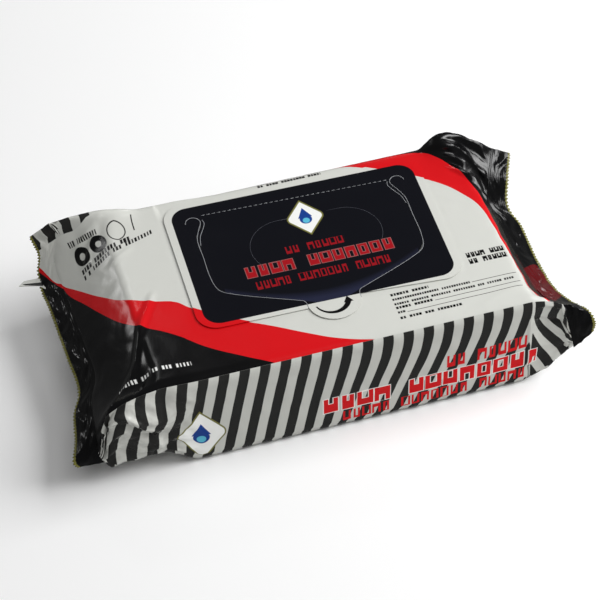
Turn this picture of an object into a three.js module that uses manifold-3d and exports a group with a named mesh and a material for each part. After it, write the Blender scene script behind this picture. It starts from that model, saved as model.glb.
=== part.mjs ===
// A soft pack of wet wipes: a flow-wrapped film pouch with a folded stack sealed inside it, and the
// die-cut resealable label on its top. Millimetres, +Z up, +X along the length, -Y towards the front.
// The origin is the centre of the stack's underside, on the surface that the pack lies on.
import * as THREE from "three";
import { mergeVertices } from "three/addons/utils/BufferGeometryUtils.js";
import Module from "manifold-3d";

// Driving dimensions: the folded stack, the film's crimped ends and the label.
const STACK_LENGTH = 178;
const STACK_WIDTH = 115.4;
const STACK_HEIGHT = 57;
const EDGE_ROUND = 5.5; // how far the film rounds off each long edge of the stack
const FOLD_ROUND = 0.9; // and how far a folded edge is rounded beside a seal
const SEAL_WIDTH = 12; // crimped band at each end
const SEAL_THICKNESS = 1.2; // welded layers of film, with the crimp's waves
const TOOTH_PITCH = 1.8; // zigzag cut along both ends
const TOOTH_DEPTH = 1.1;
const END_SLACK = 19; // near its ends the stack's top isn't held level by the label
const LABEL_LENGTH = 128;
const LABEL_WIDTH = 82.2;
const LABEL_CORNER = 10;
const LABEL_THICKNESS = 0.4;
const LABEL_GAP = 0.3; // the adhesive, so the label lies just clear of the film
const LABEL_CENTRE = [2.1, 10.2];
const LABEL_TURN = -0.02; // radians: it was stuck on slightly askew
const TAB_RADIUS = 12.7; // thumb tab at the middle of the label's front edge
const FLAP_HALF_LENGTH = 51.5; // the peeling flap, inside its die cut
const CUT_WIDTH = 0.4;

const HALF_LENGTH = STACK_LENGTH / 2;
const HALF_WIDTH = STACK_WIDTH / 2;

// How many steps the surface takes on the top and the underside, on each half of a side, round an edge,
// and along the body, an end panel and a seal.
const STEPS = { flat: 16, side: 4, round: 3, body: 6, panel: 8, seal: 3 };

// The film beyond each end of the stack. Every line runs from the stack's end out to the seal, as
// [out, y, z], where out is the distance beyond the stack's end. The side film folds in at the pleat.
// edge is the seal's cut edge from back to front as [out, y, z, slope], where slope is how steeply the
// seal falls towards it, in radians. tip is the share of the edge that belongs to the top: past the
// tip it turns down over the front.
const RIGHT_END = {
  sign: 1,
  tip: 0.9,
  lines: {
    backPleat: [[0, 57.5, 30], [6, 53, 34], [12, 52, 39], [20, 54.6, 44]],
    topBack: [[-7.5, 57, 63.4], [1, 56.6, 60.2], [9, 56, 54.8], [20, 55.2, 48]],
    top: [[0, 0, 57], [4.5, 0, 49], [10, 0, 37.5], [14.2, 0, 29]],
    topFront: [[0, -57.7, 57], [7.5, -57.6, 54.7], [13.5, -57.2, 51.3], [20, -57, 46.5]],
    frontPleat: [[0, -57.5, 45], [8, -53.6, 39.5], [14, -53.8, 38], [20, -56, 37.5]],
    bottomFront: [[0, -57.7, 0], [8, -57.8, 5.8], [16, -58, 13], [22.5, -58, 18.6]],
    underside: [[0, 0, 0], [4, 0, 5], [10, 0, 14], [14.2, 0, 26]],
    bottomBack: [[0, 57.7, 0], [6, 57, 6], [12, 56, 18], [20, 55, 42]],
  },
  edge: [[30.5, 55.5, 40, 0.6], [24.8, 42, 36, 0.5], [21.9, 32, 27, 0.5], [25, 24, 22.5, 0.5],
    [24.8, 5, 22, 0.5], [24, -20, 25, 0.5], [23.6, -29.5, 29, 0.45], [25.5, -42, 34, 0.35],
    [28.4, -53, 38.6, 0.5], [29.8, -57.3, 39.2, 0.65], [31.4, -58.6, 35, -0.1], [31.9, -58.7, 31, -0.45],
    [31.5, -58.4, 26.6, -0.75]],
};
const LEFT_END = {
  sign: -1,
  tip: 0.955,
  lines: {
    backPleat: [[0, 57.5, 28], [8, 54, 34], [16, 55, 44], [25, 58, 54.5]],
    topBack: [[-4, 58.4, 60.2], [8, 59, 60.4], [16, 59.3, 60], [25, 59, 58.5]],
    top: [[0, 0, 57], [8, 0, 51.5], [16, 0, 44.5], [23.5, 0, 37.5]],
    topFront: [[0, -57, 57], [12, -57, 54.6], [23, -57, 49], [33.5, -57, 30.5]],
    frontPleat: [[0, -59.5, 37], [11, -60.4, 40.5], [23, -59.6, 44.5], [31.5, -58, 30]],
    bottomFront: [[0, -57, 9], [12, -57.6, 11], [25, -58, 12.5], [31.5, -58, 15]],
    underside: [[0, 0, 0], [7, 0, 7], [16, 0, 20], [23.5, 0, 34.5]],
    bottomBack: [[0, 57.7, 0], [8, 57, 10], [16, 57, 28], [25, 58, 52.5]],
  },
  edge: [[35, 59, 52, 0.6], [32.3, 57.5, 40, 0.7], [34, 55, 31, 0.75], [34.6, 48, 28, 0.75],
    [33.5, 30, 28, 0.75], [32.5, 0, 28, 0.75], [32.2, -23, 27.5, 0.75], [36.7, -32, 24.5, 0.7],
    [40, -48, 23, 0.6], [42.6, -56, 23.2, 0.35], [43.2, -58, 21.3, 0.1], [41.4, -58.4, 17.6, -0.05]],
};

// The corners of the section along the stack, as shares of its half width and its height.
const FULL_SECTION = {
  backPleat: [1, 0.5], topBack: [1, 1], top: [0, 1], topFront: [-1, 1],
  frontPleat: [-1, 0.75], bottomFront: [-1, 0], underside: [0, 0], bottomBack: [1, 0],
};

const CORNER_BACK = (STEPS.side + STEPS.round / 2) / (4 * STEPS.side + 4 * STEPS.round + 2 * STEPS.flat);
const CORNER_FRONT = 0.5 - CORNER_BACK;
const { lerp } = THREE.MathUtils;

const smoothLine = (points) => {
  return new THREE.CatmullRomCurve3(points.map((p) => new THREE.Vector3(...p)), false, "centripetal");
};

// A distance out from an end of the stack, as a place along the pack.
const along = (end, out) => end.sign * (HALF_LENGTH + out);

// The seal's line at a distance inset from its cut edge.
function sealLine(end, inset) {
  const narrower = 1 - 0.01 * inset / SEAL_WIDTH;
  return smoothLine(end.edge.map(([out, y, z, slope]) => {
    return [along(end, out - inset * Math.cos(slope)), y * narrower, z + inset * Math.sin(slope)];
  }));
}

// The way round a corner between its two neighbours, on a Bezier curve.
function rounded(before, corner, after, size) {
  const start = corner.clone().lerp(before, Math.min(0.45, size / corner.distanceTo(before)));
  const finish = corner.clone().lerp(after, Math.min(0.45, size / corner.distanceTo(after)));
  return new THREE.QuadraticBezierCurve3(start, corner, finish).getPoints(STEPS.round);
}

// The points of a straight run, without its ends.
function between(a, b, steps) {
  return Array.from({ length: steps - 1 }, (_, i) => a.clone().lerp(b, (i + 1) / steps));
}

// The top or the underside of a section from its back corner a to its front corner b, without its ends:
// level with the middle point nearly all the way, and more like the seal's line as share goes to 1.
function flatRun(a, middle, b, seal, tip, share) {
  const [first, last] = [seal.getPointAt(0), seal.getPointAt(tip)];
  return between(a, b, STEPS.flat).map((point, i) => {
    const w = (i + 1) / STEPS.flat;
    const plateau = 1 - Math.abs(2 * w - 1) ** lerp(10, 3, share);
    const bent = point.clone().lerp(new THREE.Vector3(middle.x, point.y, middle.z), plateau);
    const offset = point.clone().sub(first.clone().lerp(last, w)).multiplyScalar((2 * w - 1) ** 4);
    const followed = seal.getPointAt(w * tip).add(offset);
    return bent.lerp(followed, share);
  });
}

// One closed section of the pouch: from the back pleat over the top to the front pleat, and back
// underneath.
function section(at, seal, tip, share, size) {
  const topBack = rounded(at.backPleat, at.topBack, at.topFront, size);
  const topFront = rounded(at.topBack, at.topFront, at.frontPleat, size);
  const bottomFront = rounded(at.frontPleat, at.bottomFront, at.bottomBack, size);
  const bottomBack = rounded(at.bottomFront, at.bottomBack, at.backPleat, size);
  return [
    at.backPleat,
    ...between(at.backPleat, topBack[0], STEPS.side),
    ...topBack,
    ...flatRun(topBack.at(-1), at.top, topFront[0], seal, tip, share),
    ...topFront,
    ...between(topFront.at(-1), at.frontPleat, STEPS.side),
    at.frontPleat,
    ...between(at.frontPleat, bottomFront[0], STEPS.side),
    ...bottomFront,
    ...flatRun(bottomBack[0], at.underside, bottomFront.at(-1), seal, 1, share).reverse(),
    ...bottomBack,
    ...between(bottomBack.at(-1), at.backPleat, STEPS.side),
  ];
}

// The sections from an end of the stack out to the inner side of its seal.
function panelSections(end) {
  const seal = sealLine(end, SEAL_WIDTH);
  const lines = Object.entries(end.lines).map(([name, points]) => {
    return [name, smoothLine(points.map(([out, y, z]) => [along(end, out), y, z]))];
  });
  return Array.from({ length: STEPS.panel }, (_, i) => {
    const t = i / (STEPS.panel - 0.5);
    const at = Object.fromEntries(lines.map(([name, line]) => [name, line.getPoint(t)]));
    return section(at, seal, end.tip, t * t, lerp(EDGE_ROUND, FOLD_ROUND, Math.sqrt(t)));
  });
}

// The sections along the level part of the stack.
function bodySections() {
  const straight = smoothLine([[0, HALF_WIDTH, 0], [0, -HALF_WIDTH, 0]]);
  return Array.from({ length: STEPS.body + 1 }, (_, i) => {
    const x = (HALF_LENGTH - END_SLACK) * (2 * i / STEPS.body - 1);
    const at = Object.fromEntries(Object.entries(FULL_SECTION).map(([name, [side, height]]) => {
      return [name, new THREE.Vector3(x, side * HALF_WIDTH, height * STACK_HEIGHT)];
    }));
    return section(at, straight, 1, 0, EDGE_ROUND);
  });
}

// A thin ring round a seal: along its upper side from back to front, then back along its lower side.
// Every point carries its place round the pouch, so that rings of different counts can be joined.
function sealRing(end, inset, count, tooth) {
  const line = sealLine(end, inset);
  const upper = [];
  const lower = [];
  for (let i = 0; i <= count; i += 1) {
    const w = i / count;
    const point = line.getPointAt(w);
    const normal = line.getTangentAt(w).cross(new THREE.Vector3(1, 0, 0)).normalize();
    point.x += end.sign * tooth * ((i % 2) - 0.5);
    const pastTip = lerp(CORNER_FRONT, 0.49, (w - end.tip) / Math.max(1 - end.tip, 0.01));
    const upperPlace = w <= end.tip ? lerp(CORNER_BACK, CORNER_FRONT, w / end.tip) : pastTip;
    upper.push({ point: point.clone().addScaledVector(normal, SEAL_THICKNESS / 2), place: upperPlace });
    const lowerPlace = 1 - lerp(CORNER_BACK, CORNER_FRONT, w);
    lower.push({ point: point.clone().addScaledVector(normal, -SEAL_THICKNESS / 2), place: lowerPlace });
  }
  return [...upper, ...lower.reverse()];
}

// A seal from its inner side to its zigzag edge, as rings.
function sealRings(end) {
  const teeth = 2 * Math.round(sealLine(end, 0).getLength() / TOOTH_PITCH);
  const plain = Array.from({ length: STEPS.seal }, (_, i) => {
    return sealRing(end, SEAL_WIDTH * (1 - i / STEPS.seal), STEPS.flat + 8, 0);
  });
  return [...plain, sealRing(end, 2 * TOOTH_DEPTH, STEPS.flat + 8, 0), sealRing(end, 0, teeth, TOOTH_DEPTH)];
}

// Joins rings of points, one after another, into a closed skin.
class Skin {
  constructor() {
    this.points = [];
    this.triangles = [];
    this.last = null;
  }

  // Adds a ring and joins it to the one before, going round both together by their places.
  ring(entries) {
    const first = this.points.length;
    this.points.push(...entries.map((entry) => entry.point));
    const ring = entries.map((entry, i) => ({ id: first + i, place: entry.place }));
    if (this.last) this.band(this.last, ring);
    this.last = ring;
    return ring;
  }

  band(a, b) {
    const placeAfter = (ring, i) => (i + 1 < ring.length ? ring[i + 1].place : 1 + ring[0].place);
    let i = 0;
    let j = 0;
    while (i < a.length || j < b.length) {
      const stepA = i < a.length && (j >= b.length || placeAfter(a, i) <= placeAfter(b, j));
      const next = stepA ? a[(i + 1) % a.length] : b[(j + 1) % b.length];
      this.triangles.push(b[j % b.length].id, a[i % a.length].id, next.id);
      if (stepA) i += 1;
      else j += 1;
    }
  }

  // Closes a thin ring by joining its upper side to its lower side.
  close(ring, outwards) {
    const n = ring.length;
    for (let i = 0; i < n / 2 - 1; i += 1) {
      const quad = [ring[i].id, ring[i + 1].id, ring[n - 2 - i].id, ring[n - 1 - i].id];
      if (outwards < 0) quad.reverse();
      this.triangles.push(quad[0], quad[1], quad[2], quad[0], quad[2], quad[3]);
    }
  }

  geometry() {
    return new THREE.BufferGeometry().setFromPoints(this.points).setIndex(this.triangles);
  }
}

const placed = (loop) => loop.map((point, i) => ({ point, place: i / loop.length }));

// The pouch: one film tube with the stack sealed inside it, closed by a crimped seal at each end.
function pouchGeometry() {
  const skin = new Skin();
  const leftRings = sealRings(LEFT_END).reverse().map((entries) => skin.ring(entries));
  const sections = [...panelSections(LEFT_END).reverse(), ...bodySections(), ...panelSections(RIGHT_END)];
  sections.forEach((loop) => skin.ring(placed(loop)));
  const rightRings = sealRings(RIGHT_END).map((entries) => skin.ring(entries));
  skin.close(leftRings[0], -1);
  skin.close(rightRings.at(-1), 1);
  return skin.geometry();
}

const wasm = await Module();
wasm.setup();

function toSolid(geometry) {
  const bare = geometry.clone();
  bare.deleteAttribute("normal");
  bare.deleteAttribute("uv");
  const merged = mergeVertices(bare, 1e-4);
  return new wasm.Manifold(new wasm.Mesh({
    numProp: 3,
    vertProperties: new Float32Array(merged.attributes.position.array),
    triVerts: new Uint32Array(merged.index.array),
  }));
}

function toGeometry(solid) {
  const { vertProperties, triVerts } = solid.getMesh();
  const made = new THREE.BufferGeometry();
  made.setAttribute("position", new THREE.BufferAttribute(vertProperties, 3));
  made.setIndex(new THREE.BufferAttribute(triVerts, 1));
  return made;
}

// A flat sheet of the given outline, its underside at height z.
function sheet(shape, thickness, z) {
  return new THREE.ExtrudeGeometry(shape, { depth: thickness, bevelEnabled: false, curveSegments: 10 })
    .translate(0, 0, z);
}

// The corner of the gusset's lower layer, which sticks out past the left seal at the back.
function strayCorner() {
  const [root, tip] = [along(LEFT_END, 31), along(LEFT_END, 44.5)];
  const corners = [[root, 43], [along(LEFT_END, 35), 48], [tip, 50.5], [tip + 3, 53], [root, 53]];
  return sheet(new THREE.Shape(corners.map((c) => new THREE.Vector2(...c))), SEAL_THICKNESS, 29);
}

// The label's outline about its own centre: a rounded rectangle with a thumb tab in front.
function labelOutline() {
  const [a, b, r] = [LABEL_LENGTH / 2, LABEL_WIDTH / 2, LABEL_CORNER];
  const right = Math.PI / 2;
  return new THREE.Shape()
    .moveTo(TAB_RADIUS, -b)
    .absarc(a - r, r - b, r, -right, 0, false)
    .absarc(a - r, b - r, r, 0, right, false)
    .absarc(r - a, b - r, r, right, 2 * right, false)
    .absarc(r - a, r - b, r, 2 * right, 3 * right, false)
    .lineTo(-TAB_RADIUS, -b)
    .absarc(0, TAB_RADIUS - b - 10, TAB_RADIUS, 2 * right, 4 * right, false);
}

// The die cut on one side (1 right, -1 left): from the tab, along the flap's front corner and up its
// side, to the hook that stops it from tearing on.
function cutLine(side) {
  const x = FLAP_HALF_LENGTH;
  const path = new THREE.Path().moveTo(TAB_RADIUS, -LABEL_WIDTH / 2 - 1);
  path.lineTo(TAB_RADIUS, -38).quadraticCurveTo(TAB_RADIUS, -36, TAB_RADIUS + 3, -35);
  path.lineTo(x - 8, -22.8).quadraticCurveTo(x, -19, x, -9.5).lineTo(x, 16);
  path.bezierCurveTo(x, 21, x - 4.2, 23, x - 4.2, 27.6);
  path.absarc(x - 0.6, 27.6, 3.6, Math.PI, 0, true);
  return path.getPoints(8).map((p) => new THREE.Vector2(side * p.x, p.y));
}

// The strip that the die takes out: the cut's line widened to both sides.
function cutShape(side) {
  const line = cutLine(side);
  const edge = (offset) => line.map((point, i) => {
    const ahead = line[Math.min(i + 1, line.length - 1)].clone().sub(line[Math.max(i - 1, 0)]).normalize();
    return new THREE.Vector2(point.x - ahead.y * offset, point.y + ahead.x * offset);
  });
  return new THREE.Shape([...edge(CUT_WIDTH / 2), ...edge(-CUT_WIDTH / 2).reverse()]);
}

function labelGeometry() {
  const blank = toSolid(sheet(labelOutline(), LABEL_THICKNESS, 0));
  return toGeometry([1, -1].reduce((solid, side) => {
    return solid.subtract(toSolid(sheet(cutShape(side), 3 * LABEL_THICKNESS, -LABEL_THICKNESS)));
  }, blank));
}

const film = new THREE.MeshStandardMaterial({ color: 0xc8c6be, roughness: 0.25, metalness: 0 });
const pouch = new THREE.Mesh(toGeometry(toSolid(pouchGeometry()).add(toSolid(strayCorner()))), film);
pouch.name = "pouch";

const labelPrint = new THREE.MeshStandardMaterial({ color: 0x14161e, roughness: 0.15, metalness: 0 });
const label = new THREE.Mesh(labelGeometry(), labelPrint);
label.name = "reseal_label";
label.position.set(...LABEL_CENTRE, STACK_HEIGHT + LABEL_GAP);
label.rotation.z = LABEL_TURN;

const pack = new THREE.Group();
pack.add(pouch, label);
export default pack;
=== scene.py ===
"""The looks of a wet wipes pack: a printed film pouch with crimped ends and a resealable label.

Sizes are in millimetres in the part's own frame and become metres when a mesh is made. Film
coordinates (u, v) are millimetres on the flat film: u runs along the pack and v round it, from 0 in
the middle of the top, so that v is y on the top and goes on down the sides and under the pack.
"""

import logging
import math
from dataclasses import dataclass
from enum import Enum
from typing import Callable, Sequence

import bpy
import numpy as np
from mathutils import Matrix, Vector


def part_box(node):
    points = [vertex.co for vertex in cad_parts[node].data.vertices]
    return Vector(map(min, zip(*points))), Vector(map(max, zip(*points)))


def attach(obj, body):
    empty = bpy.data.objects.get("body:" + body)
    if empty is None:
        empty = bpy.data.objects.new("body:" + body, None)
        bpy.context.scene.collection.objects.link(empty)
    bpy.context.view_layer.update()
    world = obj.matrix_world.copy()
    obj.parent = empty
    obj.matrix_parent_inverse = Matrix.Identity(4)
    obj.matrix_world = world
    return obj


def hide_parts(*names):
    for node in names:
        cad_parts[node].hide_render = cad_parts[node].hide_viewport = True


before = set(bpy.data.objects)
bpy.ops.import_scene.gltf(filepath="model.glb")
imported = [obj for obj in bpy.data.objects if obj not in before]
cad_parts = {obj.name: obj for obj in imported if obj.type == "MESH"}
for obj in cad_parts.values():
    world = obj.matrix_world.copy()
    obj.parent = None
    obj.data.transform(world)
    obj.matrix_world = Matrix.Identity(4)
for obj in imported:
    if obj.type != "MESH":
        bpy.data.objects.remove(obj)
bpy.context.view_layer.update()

log = logging.getLogger("wipes_pack")
Array = np.ndarray
Point = tuple[float, float, float]
Spot = tuple[float, float]
MM = 0.001

# The folded stack inside the film, and how the film lies round it, as in the CAD part.
STACK_LENGTH = 178.0
STACK_WIDTH = 115.4
STACK_HEIGHT = 57.0
HALF_LENGTH = STACK_LENGTH / 2
HALF_WIDTH = STACK_WIDTH / 2
SIDE_FOOT = HALF_WIDTH + STACK_HEIGHT  # film coordinate v of the stack's lower edges
HALF_GIRTH = SIDE_FOOT + HALF_WIDTH  # and of the lengthwise seam under the pack


# ---------------------------------------------------------------------------------------------
# Curves and meshes
# ---------------------------------------------------------------------------------------------


def lerp(a: Array | float, b: Array | float, t: Array | float) -> Array:
    """The value a share t of the way from a to b."""
    return a + (b - a) * t


def ease(t: Array) -> Array:
    """Smooth step: 0 below 0, 1 above 1 and 3t^2 - 2t^3 between."""
    t = np.clip(t, 0.0, 1.0)
    return t * t * (3 - 2 * t)


def length(vectors: Array) -> Array:
    """Length of each vector, kept as a last axis of one."""
    return np.linalg.norm(vectors, axis=-1, keepdims=True)


def smooth_line(points: Sequence[Point], t: Array) -> Array:
    """Centripetal Catmull-Rom line: each span is a cubic through its two points.

    The slope at a point is the mean of its spans' slopes, each weighted by the root of its length.

    Args:
        points: the points that the line goes through.
        t: places along the line, from 0 at the first point to 1 at the last, equal for each span.

    Returns:
        One point for each place.
    """
    knots = np.asarray(points, float)
    padded = np.vstack([2 * knots[0] - knots[1], knots, 2 * knots[-1] - knots[-2]])
    place = np.clip(t, 0, 1) * (len(knots) - 1)
    first = np.minimum(place.astype(int), len(knots) - 2)
    w = (place - first)[..., None]
    p0, p1, p2, p3 = (padded[first + i] for i in range(4))
    d0, d1, d2 = (np.sqrt(length(b - a)) for a, b in ((p0, p1), (p1, p2), (p2, p3)))
    out = ((p1 - p0) / d0 - (p2 - p0) / (d0 + d1) + (p2 - p1) / d1) * d1
    into = ((p2 - p1) / d1 - (p3 - p1) / (d1 + d2) + (p3 - p2) / d2) * d1
    return (p1 + out * w + (3 * (p2 - p1) - 2 * out - into) * w**2
            + (2 * (p1 - p2) + out + into) * w**3)


def evenly(points: Sequence[Point], w: Array) -> Array:
    """Points of a smooth line found by its length: the run of a fine copy is added up and turned round.

    Args:
        points: the points that the line goes through.
        w: shares of the line's length.

    Returns:
        One point for each share.
    """
    t = np.linspace(0, 1, 601)
    fine = smooth_line(points, t)
    run = np.concatenate([[0], np.cumsum(length(np.diff(fine, axis=0))[:, 0])])
    return smooth_line(points, np.interp(np.asarray(w) * run[-1], run, t))


def grid_normals(points: Array, wraps: bool) -> Array:
    """Unit normals of a grid: the cross product of its two central differences, made one long.

    Args:
        points: rows by columns by 3.
        wraps: whether each row's end joins its start.

    Returns:
        One normal for each point.
    """
    across = (np.roll(points, -1, 1) - np.roll(points, 1, 1)) if wraps else np.gradient(points, axis=1)
    normal = np.cross(across, np.gradient(points, axis=0))
    return normal / np.maximum(length(normal), 1e-9)


def triangle_wave(x: Array) -> Array:
    """A zigzag of period 1, from -0.5 to 0.5."""
    return 2 * np.abs(x - np.floor(x) - 0.5) - 0.5


def frame_top(node: str) -> float:
    """Height of a CAD node's highest point, in millimetres."""
    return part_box(node)[1][2] / MM


def mesh_object(name: str, points: Array, faces: Array, caps: Array) -> bpy.types.Object:
    """A smooth-shaded mesh object from points in millimetres.

    Args:
        name: the piece's name.
        points: one row for each vertex.
        faces: one row of vertex numbers for each face.
        caps: the same for the faces that close its ends, which may have another number of corners.

    Returns:
        The object, in the scene.
    """
    mesh = bpy.data.meshes.new(name)
    mesh.from_pydata((points.reshape(-1, 3) * MM).tolist(), [], faces.tolist() + caps.tolist())
    mesh.polygons.foreach_set("use_smooth", np.ones(len(mesh.polygons), bool))
    mesh.update()
    piece = bpy.data.objects.new(name, mesh)
    bpy.context.scene.collection.objects.link(piece)
    return piece


def zipped(share: Array, first: int, last: int) -> Array:
    """Triangles that close a flattened ring by joining its upper side to its lower side.

    Both sides are walked together from one end of the ring to the other. Each step goes on along
    the side whose next column comes first, and joins it to the column reached on the other side.

    Args:
        share: each column's share of the way from one end of the flattened ring to the other.
        first: the column where the upper side starts.
        last: the column where it ends.

    Returns:
        One row of three columns for each triangle.
    """
    count = len(share)
    upper = np.arange(first, last + 1)
    lower = np.arange(first - 1, last - count, -1) % count
    ahead = np.concatenate([share[upper[1:]], share[lower[1:]]])
    is_upper = np.arange(len(ahead)) < len(upper) - 1
    order = np.argsort(ahead, kind="stable")
    is_upper = is_upper[order]
    i, j = np.cumsum(is_upper), np.cumsum(~is_upper)
    third = np.where(is_upper, upper[i - is_upper], lower[j - ~is_upper])
    return np.stack([lower[j], upper[i], third], -1)


def tube(name: str, points: Array, layers: dict[str, Array], caps: Array) -> bpy.types.Object:
    """A closed tube: rings of points joined one after another, and faces over each end.

    Args:
        name: the piece's name.
        points: rings by points by 3, each ring anticlockwise seen against the tube's direction.
        layers: UV maps by name, each rings by points + 1 by 2, so that a map can end where it began.
        caps: the columns at the corners of each face that closes the first ring. The last ring is
            closed by the same faces turned over.

    Returns:
        The object, in the scene.
    """
    rings, count = points.shape[:2]
    row, column = (a.ravel() for a in np.meshgrid(np.arange(rings - 1), np.arange(count), indexing="ij"))
    corners = [(row, column), (row, column + 1), (row + 1, column + 1), (row + 1, column)]
    faces = np.stack([r * count + c % count for r, c in corners], -1)
    turned = caps[:, ::-1]
    piece = mesh_object(name, points, faces, np.concatenate([caps, (rings - 1) * count + turned]))
    for layer_name, layer in layers.items():
        flat = np.concatenate([
            np.stack([layer[r, c] for r, c in corners], 1).reshape(-1, 2),
            layer[0, caps.ravel()], layer[-1, turned.ravel()],
        ])
        uv = piece.data.uv_layers.new(name=layer_name)
        uv.data.foreach_set("uv", flat.astype(np.float32).ravel())
    return piece


# ---------------------------------------------------------------------------------------------
# Creases
# ---------------------------------------------------------------------------------------------


@dataclass(frozen=True)
class Crease:
    """A sharp fold in the film: a ridge, or a groove where height is below zero."""

    start: Spot
    end: Spot
    height: float
    width: float

    def over(self, u: Array, v: Array) -> Array:
        """Its height above the film: a tent across the line that fades out towards both ends.

        Args:
            u: film coordinate along the pack.
            v: film coordinate round it.

        Returns:
            The height at each place, in millimetres.
        """
        start, end = np.array(self.start), np.array(self.end)
        run = end - start
        du, dv = u - start[0], v - start[1]
        along = (du * run[0] + dv * run[1]) / (run @ run)
        across = np.abs(du * run[1] - dv * run[0]) / math.hypot(*run)
        tent = np.clip(1 - across / self.width, 0, 1) ** 1.4
        return self.height * tent * ease(along / 0.3) * ease((1 - along) / 0.3)


def crumple(u: Array, v: Array, seed: int, size: float, folds: int = 7) -> Array:
    """Facets with sharp folds: the mean of zigzag waves in random directions, on warped coordinates.

    Args:
        u: film coordinate along the pack.
        v: film coordinate round it.
        seed: of the random directions.
        size: about how long a wave is, in millimetres.
        folds: how many waves are added.

    Returns:
        A height of about a tenth of size, up and down.
    """
    rng = np.random.default_rng(seed)
    bent_u = u + 0.35 * size * np.sin(v / size * 1.7 + seed) + 0.2 * size * np.sin(v / size * 4.1)
    bent_v = v + 0.35 * size * np.sin(u / size * 1.5 + 2 * seed) + 0.2 * size * np.sin(u / size * 3.7)
    total = np.zeros_like(u)
    for _ in range(folds):
        angle, wave, shift = rng.uniform(0, math.pi), size * rng.uniform(0.6, 1.7), rng.uniform()
        place = (bent_u * math.cos(angle) + bent_v * math.sin(angle)) / wave + shift
        total += triangle_wave(place) * wave
    return total / folds * 0.5


@dataclass(frozen=True)
class SideStripes:
    """The slanted stripes printed on both sides of the film.

    They lean one way on the stack's side, and the other way on the fold beyond its right end.
    """

    pitch: float = 9.72
    black: float = 5.0
    start: float = 6.5
    slant: float = 0.19  # lean for each millimetre down the side
    fold_slant: float = -0.46  # the same on the fold beyond the right end
    upright: float = 13.0  # how far down the side the stripes stand upright towards the right end
    roll: float = 8.4  # how far the stripes come over the top at the back left corner

    def place(self, u: Array, v: Array) -> Array:
        """Where the film lies on the stripes: u plus their lean there, and v plus their roll."""
        rolled = self.roll * ease((-u - 83) / 24) * ease((v - 38) / 10)
        return np.stack([u + self.lean(u, v), v + rolled], -1)

    def lean(self, u: Array, v: Array) -> Array:
        """How far the stripes lean along the pack: the slant times the way down the front side.

        Towards the right end the upper part is upright, and a hyperbola leads into twice the slant.

        Args:
            u: film coordinate along the pack.
            v: film coordinate round it.

        Returns:
            The lean at each place, in millimetres.
        """
        fall = np.clip(-v - HALF_WIDTH, 0, STACK_HEIGHT)
        past = fall - self.upright
        left, right = self.slant * fall, self.slant * (past + np.sqrt(past**2 + 60) - 2.1)
        body = lerp(left, right, ease((u + 30) / 60)) * ease((fall + 1) / 2)
        gusset = 4.0 + self.fold_slant * np.clip(fall - 12, 0, None)
        return lerp(body, gusset, ease((u - 88.5) / 2))


# ---------------------------------------------------------------------------------------------
# Inks and the printed artwork
# ---------------------------------------------------------------------------------------------


@dataclass(frozen=True)
class Ink:
    """One printed colour, as screen values from 0 to 255."""

    red: int
    green: int
    blue: int

    def linear(self) -> tuple[float, float, float, float]:
        """The colour as the linear values that a shader takes."""
        parts = [c / 255 for c in (self.red, self.green, self.blue)]
        return (*[c / 12.92 if c <= 0.04045 else ((c + 0.055) / 1.055) ** 2.4 for c in parts], 1.0)


PEARL = Ink(206, 207, 201)
# Pearl of the sides, darker than the top's: painted shade, as the sides get less light.
SIDE_PEARL_PAINTED_SHADE = Ink(198, 199, 193)
# Black of the side stripes, lifted to dark grey: a painted reflection of the floor.
SIDE_BLACK_PAINTED_REFLECTION = Ink(40, 40, 39)
BLACK = Ink(9, 9, 10)
RED = Ink(208, 17, 24)
# Red print darkened: painted shade on the right end's panel, which faces away from the light.
RED_PAINTED_SHADE = Ink(88, 6, 12)
WHITE = Ink(240, 241, 238)
LABEL_RED = Ink(146, 17, 27)
LABEL_BRIGHT_RED = Ink(158, 18, 27)
LABEL_HALO = Ink(150, 92, 92)
NAVY = Ink(10, 11, 18)
# Lighter navy: a painted sheen on the label's flap near the tab.
NAVY_PAINTED_SHEEN = Ink(34, 37, 58)
OLIVE = Ink(116, 114, 58)
BLUE = Ink(24, 62, 140)
AQUA = Ink(92, 186, 214)
# Pale grey for the label's cuts: a painted highlight along their raised edges.
PALE_LINE_PAINTED_HIGHLIGHT = Ink(150, 152, 156)
# Dim grey for the opening's edge under the label: a painted highlight on its low ridge.
DIM_LINE_PAINTED_HIGHLIGHT = Ink(62, 64, 72)


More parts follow.
